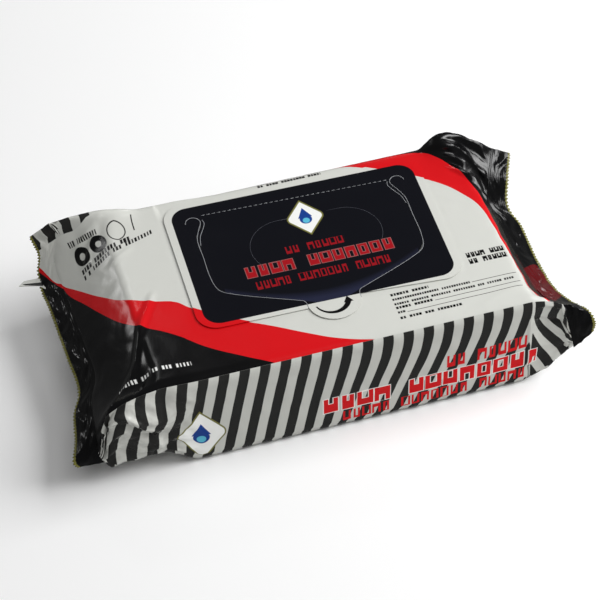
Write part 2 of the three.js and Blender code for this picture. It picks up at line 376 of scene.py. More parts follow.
class Field:
    """A number that a material's nodes work out from place to place, with the usual arithmetic."""

    def __init__(self, tree: bpy.types.NodeTree, socket: bpy.types.NodeSocket) -> None:
        """Takes an output socket of the tree as a field."""
        self.tree, self.socket = tree, socket

    def math(self, operation: str, *others: "Field | float", clamp: bool = False) -> "Field":
        """The field put through one math node.

        Args:
            operation: the node's operation.
            others: its further inputs.
            clamp: whether the result is kept between 0 and 1.

        Returns:
            The node's result.
        """
        node = self.tree.nodes.new("ShaderNodeMath")
        node.operation, node.use_clamp = operation, clamp
        for entry, value in zip(node.inputs, (self, *others)):
            if isinstance(value, Field):
                self.tree.links.new(value.socket, entry)
            else:
                entry.default_value = value
        return Field(self.tree, node.outputs[0])

    def __add__(self, other: "Field | float") -> "Field":
        """Sum."""
        return self.math("ADD", other)

    def __sub__(self, other: "Field | float") -> "Field":
        """Difference."""
        return self.math("SUBTRACT", other)

    def __mul__(self, other: "Field | float") -> "Field":
        """Product."""
        return self.math("MULTIPLY", other)

    def size(self) -> "Field":
        """Absolute value."""
        return self.math("ABSOLUTE")

    def most(self, other: "Field | float") -> "Field":
        """The greater of two."""
        return self.math("MAXIMUM", other)

    def least(self, other: "Field | float") -> "Field":
        """The smaller of two."""
        return self.math("MINIMUM", other)

    def hypot(self, other: "Field") -> "Field":
        """Root of the sum of the squares."""
        return (self * self).math("ADD", other * other).math("SQRT")

    def inside(self, soft: float = 0.16) -> "Field":
        """1 where the field is below zero and 0 where it is above, with a soft edge."""
        return self.math("MULTIPLY_ADD", -1 / soft, 0.5, clamp=True)

    def curve(self, points: Sequence[Spot]) -> "Field":
        """A smooth curve through given points, level beyond its ends.

        Args:
            points: pairs of this field's value and the result there.

        Returns:
            The curve's height at this field's value.
        """
        (low, high), (least, most) = ((min(c), max(c)) for c in zip(*points))
        share = (self - low) * (1 / (high - low))
        node = self.tree.nodes.new("ShaderNodeFloatCurve")
        line = node.mapping.curves[0]
        ordered = sorted(((a - low) / (high - low), (b - least) / (most - least)) for a, b in points)
        while len(line.points) < len(ordered):
            line.points.new(0.5, 0.5)
        for knot, place in zip(line.points, ordered):
            knot.location = place
        node.mapping.update()
        self.tree.links.new(share.math("ADD", 0.0, clamp=True).socket, node.inputs["Value"])
        return Field(self.tree, node.outputs[0]) * (most - least) + least


@dataclass
class Artwork:
    """Colours laid one over another in a material's nodes."""

    tree: bpy.types.NodeTree
    colour: bpy.types.NodeSocket | None = None

    def paint(self, ink: "Ink | bpy.types.NodeSocket", where: Field | None = None) -> None:
        """Lays an ink, or a colour that nodes work out, over what is there.

        Args:
            ink: what is laid.
            where: how much of it is laid from place to place, or all over if none is given.
        """
        mix = self.tree.nodes.new("ShaderNodeMix")
        mix.data_type = "RGBA"
        entries = [i for i in mix.inputs if i.type == "RGBA"]
        if self.colour is not None:
            self.tree.links.new(self.colour, entries[0])
        if isinstance(ink, Ink):
            entries[1].default_value = ink.linear()
        else:
            self.tree.links.new(ink, entries[1])
        if where is None:
            mix.inputs[0].default_value = 1.0
        else:
            self.tree.links.new(where.socket, mix.inputs[0])
        self.colour = next(o for o in mix.outputs if o.type == "RGBA")


@dataclass(frozen=True)
class Panel:
    """An upright rectangle on the film, from its lowest to its highest coordinates."""

    left: float
    low: float
    right: float
    high: float

    def distance(self, u: Field, v: Field, corner: float = 0.0) -> Field:
        """How far a place is outside the rectangle, which is below zero inside it.

        Args:
            u: the place's first coordinate.
            v: its second coordinate.
            corner: radius of the rounded corners.

        Returns:
            The distance in millimetres.
        """
        across = (u - (self.left + self.right) / 2).size() - ((self.right - self.left) / 2 - corner)
        up = (v - (self.low + self.high) / 2).size() - ((self.high - self.low) / 2 - corner)
        if not corner:
            return across.most(up)
        return across.most(0.0).hypot(up.most(0.0)) - corner


@dataclass(frozen=True)
class TextLine:
    """A line of made-up lettering: a row of plain blocks, or of block letters drawn by strokes."""

    box: Panel
    pitch: float
    spaces: tuple[int, ...] = ()
    gap: float = 0.28
    rise: float = 0.0
    stroke: float = 0.0

    def distance(self, u: Field, v: Field) -> Field:
        """Below zero inside a block: a repeated upright bar of random width, cut to the rectangle.

        Where strokes are drawn, an opening is cut into each block from above or from below.

        Args:
            u: the place's first coordinate.
            v: its second coordinate.

        Returns:
            About the distance to the nearest block's edge, in millimetres.
        """
        box = self.box
        v = v - (u - box.left) * self.rise if self.rise else v
        cell = (u - box.left) * (1 / self.pitch)
        index = cell.math("FLOOR")
        across = (cell - index - 0.5).size() * self.pitch
        half = (self.chance(index) * 0.35 + (0.86 - self.gap)) * (self.pitch / 2)
        shape = (across - half).most(box.distance(u, v))
        if self.stroke:
            opening = (self.chance(index + 0.5) - 0.5) * (3.2 * self.stroke)
            tall = (box.high - box.low) / 2 - self.stroke
            up = (v - (box.low + box.high) / 2 - opening).size() - tall
            shape = shape.most((across - half + self.stroke).most(up) * -1.0)
        for space in self.spaces:
            shape = shape.most((index - space).size() * -4.0 + 2.0)
        return shape

    @staticmethod
    def chance(index: Field) -> Field:
        """A fixed random number from 0 to 1 for each value of the index.

        Args:
            index: the number of the block.

        Returns:
            The random number.
        """
        node = index.tree.nodes.new("ShaderNodeTexWhiteNoise")
        node.noise_dimensions = "1D"
        index.tree.links.new(index.socket, node.inputs["W"])
        return Field(index.tree, node.outputs["Value"])


Lines = tuple[TextLine, ...]


@dataclass(frozen=True)
class FilmPrint:
    """The pouch's artwork over film coordinates: sweeping bands, side stripes and made-up lettering, with
    painted shade on the sides and on a patch at the right end, and a painted reflection in the sides' black.

    Each band is given by the upper or inner edge of its red and of its black.
    """

    left_band: tuple[tuple[Spot, ...], ...] = (
        ((-140, 49), (-133.4, 40.4), (-130.6, 35), (-126.8, 29.1), (-116.3, 22.9), (-103.5, 11.5),
         (-91.2, 0.9), (-80.3, -4), (-69.2, -7.4), (-64, -12.5), (-54, -20.5), (-43, -28), (-31, -35),
         (-17, -44), (-3, -52), (13.5, -58)),
        ((-140, 46), (-133.4, 37), (-128.5, 30.1), (-122.7, 22.6), (-113.7, 13.3), (-106.3, 3.2),
         (-96.2, -10.2), (-86.2, -19.7), (-79.2, -24), (-72.3, -29.3), (-62.6, -38.7), (-49, -48.5),
         (-35.5, -57.5), (-30, -62)),
    )
    right_band: tuple[tuple[Spot, ...], ...] = (
        ((58.2, 21), (55.7, 31), (52.5, 38), (48, 46.4), (37, 63.7), (28, 75), (20.7, 80.7), (10, 86.3),
         (-3, 88.2), (-20, 89.5), (-58, 97)),
        ((58.2, 50), (56.4, 60), (54.3, 66.4), (51.4, 73), (47.5, 77), (41.4, 81.4), (28, 87), (12, 90.2),
         (-4, 91.5), (-20, 93), (-58, 98)),
    )
    # A patch of red print on the right end's panel, painted dark as shade.
    painted_shade_patch: Panel = Panel(111, -36, 131, -5)
    badge: Spot = (-72.0, -96.2)
    badge_size: Spot = (13.5, 17.5)
    halo: float = 0.4  # width of the white rim round the largest lettering
    side_text: Lines = (
        TextLine(Panel(47, -89.4, 88, -81.4), 5.1, (2,), 0.26, stroke=1.15),
        TextLine(Panel(-13.6, -101.4, 93, -91.8), 8.4, (4,), 0.22, stroke=2.3),
        TextLine(Panel(-4, -110.5, 88, -102.9), 4.84, (5, 13), 0.26, stroke=1.05),
    )
    count_text: Lines = (
        TextLine(Panel(-109, 24.4, -68, 27.0), 1.64, (1, 3, 11, 15), 0.42, rise=0.354),
        TextLine(Panel(-109.2, 27.9, -79.4, 30.7), 1.75, (4, 13), 0.36, rise=0.315),
        TextLine(Panel(-111.1, 43.4, -94, 46.0), 1.32, (3,), 0.46, rise=0.1),
    )
    rings: tuple[tuple[Panel, float], ...] = (  # and half the width of each ring's line
        (Panel(-110.6, 32.6, -101.2, 42.6), 1.5), (Panel(-99.8, 35.2, -90.6, 44.6), 1.5),
        (Panel(-89.2, 38.6, -80.2, 50.4), 0.3),
    )
    small_text: Lines = (
        TextLine(Panel(-12, 55.9, 20, 57.0), 1.5, (5, 11, 15)),
        TextLine(Panel(-12, 53.2, 20, 55.2), 1.5, (2, 7, 16), 0.2),
        TextLine(Panel(69, -21.8, 88, -18.6), 2.35, (4,), 0.2, stroke=0.78),
        TextLine(Panel(69, -26.0, 88, -22.8), 2.35, (2,), 0.2, stroke=0.78),
        TextLine(Panel(27, -34.5, 45.7, -32.9), 1.5, (6,)),
        TextLine(Panel(27, -37.4, 65, -36.1), 1.2, (19,)),
        TextLine(Panel(27, -40.4, 85.7, -39.1), 1.2, (6, 14, 23, 33, 37, 44)),
        TextLine(Panel(27, -42.9, 45, -41.4), 1.5, (5,)),
        TextLine(Panel(27, -45.7, 30.7, -44.4), 1.2),
        TextLine(Panel(27, -49.4, 57, -47.9), 1.5, (2, 7, 11)),
    )
    rules: tuple[Panel, ...] = (
        Panel(66, -37.1, 88, -36.8), Panel(46, -42.9, 88, -42.6), Panel(31.5, -45.9, 88, -45.6),
        Panel(-76.4, 43.2, -75.8, 52.2),
    )
    corner_text: TextLine = TextLine(Panel(-109.5, -45.0, -72, -42.8), 1.6, (7, 11, 14, 18), 0.55, -0.067)

    def bands(self, art: Artwork, u: Field, v: Field) -> None:
        """Lays the ground colour, and the red and black bands that sweep over it.

        Args:
            art: what is painted on.
            u: film coordinate along the pack.
            v: film coordinate round it.
        """
        art.paint(PEARL)
        upper, lower = (u.curve(points) for points in self.left_band)
        art.paint(RED, (v - upper).inside())
        art.paint(BLACK, (v - lower).inside())
        inner, outer = (v.curve(points) for points in self.right_band)
        art.paint(RED, (inner - u).inside())
        art.paint(BLACK, (outer - u).inside())

    def paint(self, art: Artwork, u: Field, v: Field, stripe: Field, reach: Field) -> None:
        """Lays the whole print, from the ground colour up to the smallest lettering.

        Args:
            art: what is painted on.
            u: film coordinate along the pack.
            v: film coordinate round it.
            stripe: place along the stripes' row, from SideStripes.place.
            reach: place round the film on the stripes.
        """
        self.bands(art, u, v)
        # The right end's red patch, darkened as painted shade.
        art.paint(RED_PAINTED_SHADE, self.painted_shade_patch.distance(u, v, 2).inside())
        self.stripes(art, stripe, reach)
        self.sides(art, u, v)
        for line in (*self.count_text, *self.small_text):
            art.paint(BLACK, line.distance(u, v).inside(0.3))
        for ring, half in self.rings:
            edge = ring.distance(u, v, (ring.high - ring.low) * 0.48) + half
            art.paint(BLACK, (edge.size() - half).inside(0.3))
        for rule in self.rules:
            art.paint(BLACK, rule.distance(u, v).inside(0.2))
        art.paint(WHITE, self.corner_text.distance(u, v).inside(0.3))

    def stripes(self, art: Artwork, stripe: Field, reach: Field) -> None:
        """Lays stripes over both sides, from the stack's upper edges to the seam underneath, on a pearl
        painted darker as shade.

        Args:
            art: what is painted on.
            stripe: place along the stripes' row.
            reach: place round the film on the stripes.
        """
        row = SideStripes()
        side = reach.size() * -1.0 + HALF_WIDTH
        # The sides' ground in the darker pearl: painted shade.
        art.paint(SIDE_PEARL_PAINTED_SHADE, side.inside())
        cell = (stripe - row.start) * (1 / row.pitch)
        half = row.black / 2
        bar = (cell - cell.math("FLOOR") - half / row.pitch).size() * row.pitch - half
        # Black stripes in the lifted black: painted reflection of the floor.
        art.paint(SIDE_BLACK_PAINTED_REFLECTION, bar.most(side).inside())

    def sides(self, art: Artwork, u: Field, v: Field) -> None:
        """Lays the large lettering and the badge on the front side.

        Args:
            art: what is painted on.
            u: film coordinate along the pack.
            v: film coordinate round it.
        """
        largest = max(self.side_text, key=lambda line: line.stroke)
        for line in self.side_text:
            shape = line.distance(u, v)
            if line is largest:
                art.paint(WHITE, (shape - self.halo).inside(0.3))
            art.paint(RED, shape.inside(0.25))
        Badge(self.badge, *self.badge_size).paint(art, u, v)


@dataclass(frozen=True)
class Badge:
    """A plain white diamond with two rounded corners, an olive edge and a blue drop."""

    centre: Spot
    wide: float
    tall: float

    def paint(self, art: Artwork, u: Field, v: Field) -> None:
        """Lays the badge, whose edge is where the shares of its half width and height add up to one.

        Args:
            art: what is painted on.
            u: first coordinate of the surface.
            v: its second coordinate.
        """
        across, up = u - self.centre[0], v - self.centre[1]
        p, q = across * (1 / self.wide), up * (1 / self.tall)
        a, b = (p + q).size(), (p - q).size()
        sharp = a.most(b) - 1.0
        soft = (a - 0.62).most(0.0).hypot((b - 0.62).most(0.0)) - 0.38
        rounded_sides = p.size().math("GREATER_THAN", q.size())
        diamond = sharp + (soft - sharp) * rounded_sides
        reach = diamond * (min(self.wide, self.tall) * 0.72)
        art.paint(OLIVE, reach.inside(0.3))
        art.paint(WHITE, (reach + 0.75).inside(0.3))
        drop = across.hypot(up + self.wide * 0.12) - self.wide * 0.30
        tip = (across.size() * 1.9 + up) - self.wide * 0.66
        art.paint(BLUE, drop.least(tip.most((up * -1.0))).inside(0.3))
        wave = across.hypot(up + self.wide * 0.2) - self.wide * 0.17
        art.paint(AQUA, wave.inside(0.3))


@dataclass(frozen=True)
class LabelPrint:
    """The label's artwork over its own coordinates: a navy field with a painted sheen near the tab,
    lettering, a badge and an arrow.
    """

    ground: Panel = Panel(-60.4, -38.7, 60.4, 38.3)
    corner: float = 8.0
    halo: float = 0.3
    badge: Spot = (1.6, 16.2)
    badge_size: Spot = (10.0, 12.0)
    arrow_centre: Spot = (-1.4, -38.6)
    arrow_radius: float = 8.1
    text: Lines = (
        TextLine(Panel(-13.5, -4.9, 15.5, -0.2), 3.6, (2,), 0.26, stroke=0.72),
        TextLine(Panel(-35.5, -15.0, 37.5, -8.2), 6.08, (4,), 0.3, stroke=1.35),
        TextLine(Panel(-32.5, -23.4, 33.0, -18.4), 3.45, (5, 13), 0.26, stroke=0.68),
    )

    def paint(self, art: Artwork, a: Field, b: Field) -> None:
        """Lays the label's print over the colour that shows through its clear border.

        Args:
            art: what is painted on.
            a: place along the label.
            b: place across it.
        """
        ground = self.ground.distance(a, b, self.corner)
        art.paint(NAVY, ground.inside())
        # Painted sheen: lighter navy inside the flap, below a curve near the tab, for light caught by the
        # flap's raised lower edge.
        sheen_top = (a * a) * 0.0062 - 33.6
        flap = (a.size() * 0.439 - 41.9) - b
        sheen_area = flap.most(a.size() - 47.0).most(ground)
        art.paint(NAVY_PAINTED_SHEEN, sheen_area.inside(0.4) * (b - sheen_top).inside(5.0))
        largest = max(self.text, key=lambda line: line.stroke)
        for line in self.text:
            shape = line.distance(a, b)
            if line is largest:
                art.paint(LABEL_HALO, (shape - self.halo).inside(0.25))
            art.paint(LABEL_BRIGHT_RED if line is largest else LABEL_RED, shape.inside(0.2))
        Badge(self.badge, *self.badge_size).paint(art, a, b)
        self.arrow(art, a, b)

    def arrow(self, art: Artwork, a: Field, b: Field) -> None:
        """Lays the lift arrow on the tab: an arc that thickens towards its head.

        Args:
            art: what is painted on.
            a: place along the label.
            b: place across it.
        """
        across, down = a - self.arrow_centre[0], b - self.arrow_centre[1]
        arc = (across.hypot(down) - self.arrow_radius).size() - 0.85
        arc = (arc - across * 0.06).most(down + 2.6)
        head = ((a - 6.2).size() * 1.6 + (b + 38.4)).most((b + 42.2) * -1.0)
        art.paint(BLACK, arc.least(head).inside(0.2))


# ---------------------------------------------------------------------------------------------
# The film round the stack
# ---------------------------------------------------------------------------------------------


class Side(Enum):
    """The pack's two ends, with their direction along X."""

    LEFT = -1
    RIGHT = 1


@dataclass(frozen=True)
class FilmEnd:
    """The film beyond one end of the stack.

    Every line runs from the stack's end out to the seal as (out, y, z), where out is the distance
    beyond the stack's end. edge is the seal's cut edge from back to front, and tip is the share of
    it that belongs to the top: past the tip it turns down over the front. Each point of edge ends
    with the seal's slope there, in radians: how steeply it falls towards the cut edge.
    """

    side: Side
    tip: float
    back_pleat: Sequence[Point]
    top_back: Sequence[Point]
    top: Sequence[Point]
    top_front: Sequence[Point]
    front_pleat: Sequence[Point]
    bottom_front: Sequence[Point]
    underside: Sequence[Point]
    bottom_back: Sequence[Point]
    edge: Sequence[tuple[float, float, float, float]]

    def line(self, name: str, t: Array) -> Array:
        """Points of one of the lines, in the part's frame.

        Args:
            name: the line's name.
            t: places along it, from 0 to 1.

        Returns:
            One point for each place.
        """
        points = smooth_line(getattr(self, name), t)
        points[..., 0] = self.side.value * (HALF_LENGTH + points[..., 0])
        return points

    def seal_line(self, inset: float, w: Array) -> Array:
        """The seal's line on one ring of it: the cut edge moved inwards down its own slope.

        Args:
            inset: distance from the cut edge.
            w: shares of the seal's length.

        Returns:
            One point for each share.
        """
        narrower = 1 - 0.01 * inset / EndSeal.width
        moved = [
            (self.side.value * (HALF_LENGTH + out - inset * math.cos(slope)), y * narrower,
             z + inset * math.sin(slope))
            for out, y, z, slope in self.edge
        ]
        return evenly(moved, w)

    def seal_frame(self, inset: float, w: Array) -> tuple[Array, Array]:
        """The seal's line, and the direction straight up from the seal all along it.

        Args:
            inset: distance from the cut edge.
            w: shares of the seal's length.

        Returns:
            One point and one unit direction for each share.
        """
        fine = np.linspace(0, 1, 401)
        line = self.seal_line(inset, fine)
        up = np.cross(np.gradient(line, axis=0), (1.0, 0.0, 0.0))
        up = up / length(up)
        return tuple(np.stack([np.interp(w, fine, a[:, i]) for i in range(3)], -1) for a in (line, up))

    def place(self, v: Array) -> tuple[Array, Array]:
        """Where the film with coordinates v is drawn together: its share of the seal, and its layer.

        The top and the front side lie on the upper layer, from the back end of the seal to its front
        end. The underside is the lower layer, and the back side is folded in between them.

        Args:
            v: film coordinates.

        Returns:
            The share of the seal's length, and a layer from 1 above to -1 below.
        """
        reach = np.abs(v)
        top = self.tip * (HALF_WIDTH - v) / STACK_WIDTH
        front = self.tip + (1 - self.tip) * (-v - HALF_WIDTH) / STACK_HEIGHT
        under = np.where(v < 0, 1 - (reach - SIDE_FOOT) / STACK_WIDTH, (reach - SIDE_FOOT) / STACK_WIDTH)
        share = np.where(reach <= HALF_WIDTH, top, np.where(v < 0, front, 0.0))
        share = np.where(reach >= SIDE_FOOT, under, share)
        side_layer = np.where(v > 0, 1 - 2 * (v - HALF_WIDTH) / STACK_HEIGHT, 1.0)
        layer = np.where(reach <= HALF_WIDTH, 1.0, np.where(reach >= SIDE_FOOT, -1.0, side_layer))
        return np.clip(share, 0, 1), layer


RIGHT_END = FilmEnd(
    side=Side.RIGHT, tip=0.9,
    back_pleat=((0, 57.5, 30), (6, 53, 34), (12, 52, 39), (20, 54.6, 44)),
    top_back=((-7.5, 57, 63.4), (1, 56.6, 60.2), (9, 56, 54.8), (20, 55.2, 48)),
    top=((0, 0, 57), (4.5, 0, 49), (10, 0, 37.5), (14.2, 0, 29)),
    top_front=((0, -57.7, 57), (7.5, -57.6, 54.7), (13.5, -57.2, 51.3), (20, -57, 46.5)),
    front_pleat=((0, -57.5, 45), (8, -53.6, 39.5), (14, -53.8, 38), (20, -56, 37.5)),
    bottom_front=((0, -57.7, 0), (8, -57.8, 5.8), (16, -58, 13), (22.5, -58, 18.6)),
    underside=((0, 0, 0), (4, 0, 5), (10, 0, 14), (14.2, 0, 26)),
    bottom_back=((0, 57.7, 0), (6, 57, 6), (12, 56, 18), (20, 55, 42)),
    edge=((30.5, 55.5, 40, 0.6), (24.8, 42, 36, 0.5), (21.9, 32, 27, 0.5), (25, 24, 22.5, 0.5),
          (24.8, 5, 22, 0.5), (24, -20, 25, 0.5), (23.6, -29.5, 29, 0.45), (25.5, -42, 34, 0.35),
          (28.4, -53, 38.6, 0.5), (29.8, -57.3, 39.2, 0.65), (31.4, -58.6, 35, -0.1),
          (31.9, -58.7, 31, -0.45), (31.5, -58.4, 26.6, -0.75)),
)
LEFT_END = FilmEnd(
    side=Side.LEFT, tip=0.955,
    back_pleat=((0, 57.5, 28), (8, 54, 34), (16, 55, 44), (25, 58, 54.5)),
    top_back=((-4, 58.4, 60.2), (8, 59, 60.4), (16, 59.3, 60), (25, 59, 58.5)),
    top=((0, 0, 57), (8, 0, 51.5), (16, 0, 44.5), (23.5, 0, 37.5)),
    top_front=((0, -57, 57), (12, -57, 54.6), (23, -57, 49), (33.5, -57, 30.5)),
    front_pleat=((0, -59.5, 37), (11, -60.4, 40.5), (23, -59.6, 44.5), (31.5, -58, 30)),
    bottom_front=((0, -57, 9), (12, -57.6, 11), (25, -58, 12.5), (31.5, -58, 15)),
    underside=((0, 0, 0), (7, 0, 7), (16, 0, 20), (23.5, 0, 34.5)),
    bottom_back=((0, 57.7, 0), (8, 57, 10), (16, 57, 28), (25, 58, 52.5)),
    edge=((35, 59, 52, 0.6), (32.3, 57.5, 40, 0.7), (34, 55, 31, 0.75), (34.6, 48, 28, 0.75),
          (33.5, 30, 28, 0.75), (32.5, 0, 28, 0.75), (32.2, -23, 27.5, 0.75), (36.7, -32, 24.5, 0.7),
          (40, -48, 23, 0.6), (42.6, -56, 23.2, 0.35), (43.2, -58, 21.3, 0.1), (41.4, -58.4, 17.6, -0.05)),
)


# Folds pulled into the film by its seals: over the left slope, at its front corner, and fanning out
# from the peak at the right end's back corner.
FILM_CREASES = (
    Crease((-76, 4), (-92, -24), 0.9, 3.2),
    Crease((-85, -12), (-104, -50), 1.1, 3.0),
    Crease((-93, -34), (-121, -60), 1.9, 5.0),
    Crease((-90, -40), (-110, -62), -0.8, 3.5),
    Crease((-78, 34), (-96, 22), 0.5, 2.5),
    Crease((-92, 50), (-108, 30), 0.9, 3.0),
    Crease((-84, 56), (-112, 40), 1.0, 3.0),
    Crease((-110, 56), (-30, 54), 1.8, 9.0),
    Crease((-100, -66), (-124, -76), 1.6, 4.0),
    Crease((-84, -70), (-112, -72), 1.5, 3.5),
    Crease((-70, -74), (-96, -100), -1.2, 4.0),
    Crease((-96, -74), (-90, -108), 1.4, 5.0),
    Crease((-112, -74), (-118, -104), 1.4, 4.5),
    Crease((88.5, -60), (88.5, -113), 0.7, 1.3),
    Crease((76, 56), (118, 57), 2.2, 2.8),
    Crease((77, 54), (118, 50), -1.8, 2.4),
    Crease((76, 52), (116, 43), 2.3, 2.8),
    Crease((78, 50), (114, 36), -1.8, 2.2),
    Crease((77, 48), (111, 29), 2.2, 2.6),
    Crease((80, 45), (108, 21), -1.4, 2.2),
    Crease((78, 43), (103, 12), 1.8, 2.4),
    Crease((70, 56), (90, 60), 1.2, 4.0),
    Crease((92, 20), (112, 34), -0.9, 3.0),
    Crease((90, -62), (114, -66), 1.0, 2.5),
    Crease((90, -72), (116, -76), -0.8, 3.0),
    Crease((92, -78), (116, -100), 0.7, 3.0),
    Crease((60, -54), (90, -44), 0.35, 5.0),
)


def rounded(before: Array, corner: Array, after: Array, size: Array, count: int) -> Array:
    """The way round a corner: a quadratic Bezier from a point before it to a point after it.

    Args:
        before: the neighbouring corners on one side, one for each section.
        corner: the corners.
        after: the neighbouring corners on the other side.
        size: how far from the corner the curve starts and ends.
        count: how many steps it takes.

    Returns:
        Sections by count + 1 points.
    """
    start, finish = (
        lerp(corner, other, np.minimum(0.45, size / length(corner - other))) for other in (before, after)
    )
    s = np.linspace(0, 1, count + 1)[None, :, None]
    start, corner, finish = start[:, None], corner[:, None], finish[:, None]
    return (1 - s) ** 2 * start + 2 * s * (1 - s) * corner + s**2 * finish


def straight(a: Array, b: Array, count: int) -> Array:
    """Points of the straight run from a to b in count steps, without its ends."""
    return lerp(a[:, None], b[:, None], np.linspace(0, 1, count + 1)[1:-1][None, :, None])


def flat_run(a: Array, middle: Array, b: Array, seal: Array, share: Array) -> Array:
    """The top or underside of each section, from one rounded corner to the next, without its ends.

    Near the stack it is a straight line that bends to a level plateau through the middle point.
    Near the seal it has the shape of the seal's line, moved only close to its ends to meet them.

    Args:
        a: the first end, one for each section.
        middle: the points that the plateau passes through.
        b: the last end.
        seal: the seal's line, one point for each column.
        share: how much each section follows the seal, from 0 to 1.

    Returns:
        Sections by columns by 3.
    """
    w = np.linspace(0, 1, len(seal))[None, 1:-1, None]
    level = lerp(a[:, None], b[:, None], w)
    plateau = (1 - np.abs(2 * w - 1) ** lerp(10.0, 3.0, share[..., None]))[..., 0]
    bent = np.stack([lerp(level[..., 0], middle[:, None, 0], plateau), level[..., 1],
                     lerp(level[..., 2], middle[:, None, 2], plateau)], -1)
    followed = seal[None, 1:-1] + (level - lerp(seal[0], seal[-1], w)) * (2 * w - 1) ** 4
    return lerp(bent, followed, share[..., None])


def shoulder(a: Array, b: Array, step: Array) -> Array:
    """Rings between two rings: even steps along the pack, and eased ones across and up.

    Args:
        a: the ring before them.
        b: the ring after them.
        step: the share of the way for each new ring.

    Returns:
        Rings by points by 3.
    """
    eased = lerp(a[None], b[None], ease(step))
    eased[..., 0] = lerp(a[None], b[None], step)[..., 0]
    return eased


@dataclass
class FilmWrap:
    """The printed film: one tube round the stack, drawn together to a flat seal at each end.

    A section is a closed loop with four rounded corners and a pleat at each side. Along the body
    it is the stack's own outline. Beyond the stack its corners follow the lines of a FilmEnd, and
    its top and underside change from level to the shape of the seal's line.
    """

    edge_round: float = 5.5  # how far from the stack's edges their rounding starts
    fold_round: float = 0.9  # the same at the seals
    end_slack: float = 19.0  # the shoulders start this far inside the stack's ends
    top_steps: int = 120  # points along each run of a section, and then rings along each part
    under_steps: int = 30
    back_steps: int = 24
    front_steps: tuple[int, int] = (18, 44)
    corner_steps: int = 6
    panel_rings: int = 62
    shoulder_rings: int = 22
    body_rings: int = 126
    drawn_from: float = 0.72  # share of an end's length where the sides start to be drawn to the seal
    draw_power: float = 1.6  # the top is drawn to it with this power of the share
    layer_gap: float = 0.12  # half the film's opening at the seal
    soften_passes: int = 12
    broad_crumple: float = 15.0
    fine_crumple: float = 5.5
    crease_rings: float = 10.0  # the creases grow over this many rings from each seal
    clearance: float = 0.45  # the underside stays this far off the floor, over the lengthwise seam
    creases: Sequence[Crease] = FILM_CREASES

    def loop(self, at: dict[str, Array], seals: tuple[Array, Array], share: Array, size: Array) -> Array:
        """All the sections through the given corners, as sections by points by 3.

        Args:
            at: each corner's points, one for each section.
            seals: the seal's line for the top and for the underside, as they are at their last section.
            share: how much each section follows the seal, from 0 to 1.
            size: how far each section's corners are rounded.

        Returns:
            The points of every section, from the seam underneath over the back and the top.
        """
        top_back, top_front, bottom_front, bottom_back = (
            rounded(at[before], at[corner], at[after], size, self.corner_steps)
            for before, corner, after in (
                ("back_pleat", "top_back", "top_front"), ("top_back", "top_front", "front_pleat"),
                ("front_pleat", "bottom_front", "bottom_back"), ("bottom_front", "bottom_back", "back_pleat"),
            )
        )
        under = flat_run(bottom_front[:, -1], at["underside"], bottom_back[:, 0], seals[1], share)
        half = under.shape[1] // 2
        pleats = [at["back_pleat"][:, None], at["front_pleat"][:, None]]
        return np.concatenate([
            under[:, half:], bottom_back, straight(bottom_back[:, -1], at["back_pleat"], self.back_steps),
            pleats[0], straight(at["back_pleat"], top_back[:, 0], self.back_steps), top_back,
            flat_run(top_back[:, -1], at["top"], top_front[:, 0], seals[0], share), top_front,
            straight(top_front[:, -1], at["front_pleat"], self.front_steps[0]), pleats[1],
            straight(at["front_pleat"], bottom_front[:, 0], self.front_steps[1]), bottom_front,
            under[:, :half],
        ], 1)

    def body(self, x: Array) -> Array:
        """Sections of the level part of the stack.

        Args:
            x: the places along the pack.

        Returns:
            Sections by points by 3.
        """
        shares = {
            "back_pleat": (1, 0.5), "top_back": (1, 1), "top": (0, 1), "top_front": (-1, 1),
            "front_pleat": (-1, 0.75), "bottom_front": (-1, 0), "underside": (0, 0), "bottom_back": (1, 0),
        }
        at = {
            name: np.stack([x, np.full_like(x, side * HALF_WIDTH), np.full_like(x, up * STACK_HEIGHT)], -1)
            for name, (side, up) in shares.items()
        }
        none = np.zeros((len(x), 1))
        level = [np.zeros((steps + 1, 3)) for steps in (self.top_steps, self.under_steps)]
        return self.loop(at, (level[0], level[1]), none, none + self.edge_round)

    def panel(self, end: FilmEnd, t: Array) -> Array:
        """Sections of the film beyond an end of the stack, drawn together to its seal.

        The pull towards the seal grows as a power of the share on the top, and late on the sides.

        Args:
            end: which end.
            t: shares of the way from the stack to the seal.

        Returns:
            Sections by points by 3.
        """
        names = ("back_pleat", "top_back", "top", "top_front", "front_pleat", "bottom_front", "underside",
                 "bottom_back")
        at = {name: end.line(name, t) for name in names}
        top = end.seal_line(EndSeal.width, np.linspace(0, end.tip, self.top_steps + 1))
        under = end.seal_line(EndSeal.width, np.linspace(1, 0, self.under_steps + 1))
        size = lerp(self.edge_round, self.fold_round, np.sqrt(t))[:, None]
        rings = self.loop(at, (top, under), (t * t)[:, None], size)
        v = self.girth()[:-1]
        share, layer = end.place(v)
        line, above = end.seal_frame(EndSeal.width, share)
        drawn = line + above * (self.layer_gap * layer)[:, None]
        early = t[:, None] ** self.draw_power
        late = ease((t[:, None] - self.drawn_from) / (1 - self.drawn_from))
        pull = lerp(late, early, ease((HALF_WIDTH - np.abs(v)) / 12)[None])
        return rings + (drawn - rings[np.argmax(t)])[None] * pull[..., None]

    def girth(self) -> Array:
        """Film coordinate v of each point round a section of the stack, from the seam to the seam.

        It is y on the top, y and the fall from the top on the sides, and so on under the pack.

        Returns:
            One value for each point, and one more for the way back to the first.
        """
        section = self.body(np.zeros(1))[0]
        y, z = section[:, 1], section[:, 2]
        fall = STACK_HEIGHT - z
        upper = np.sign(y) * (np.abs(y) + fall)
        lower = np.sign(y) * (SIDE_FOOT + z + HALF_WIDTH - np.abs(y))
        v = np.where((z < self.edge_round - 1e-6) & (np.abs(y) <= HALF_WIDTH), lower, upper)
        centre = np.abs(y) < 1e-6
        v = np.where(centre & (z < 1), HALF_GIRTH, v)
        return np.append(v, -HALF_GIRTH)

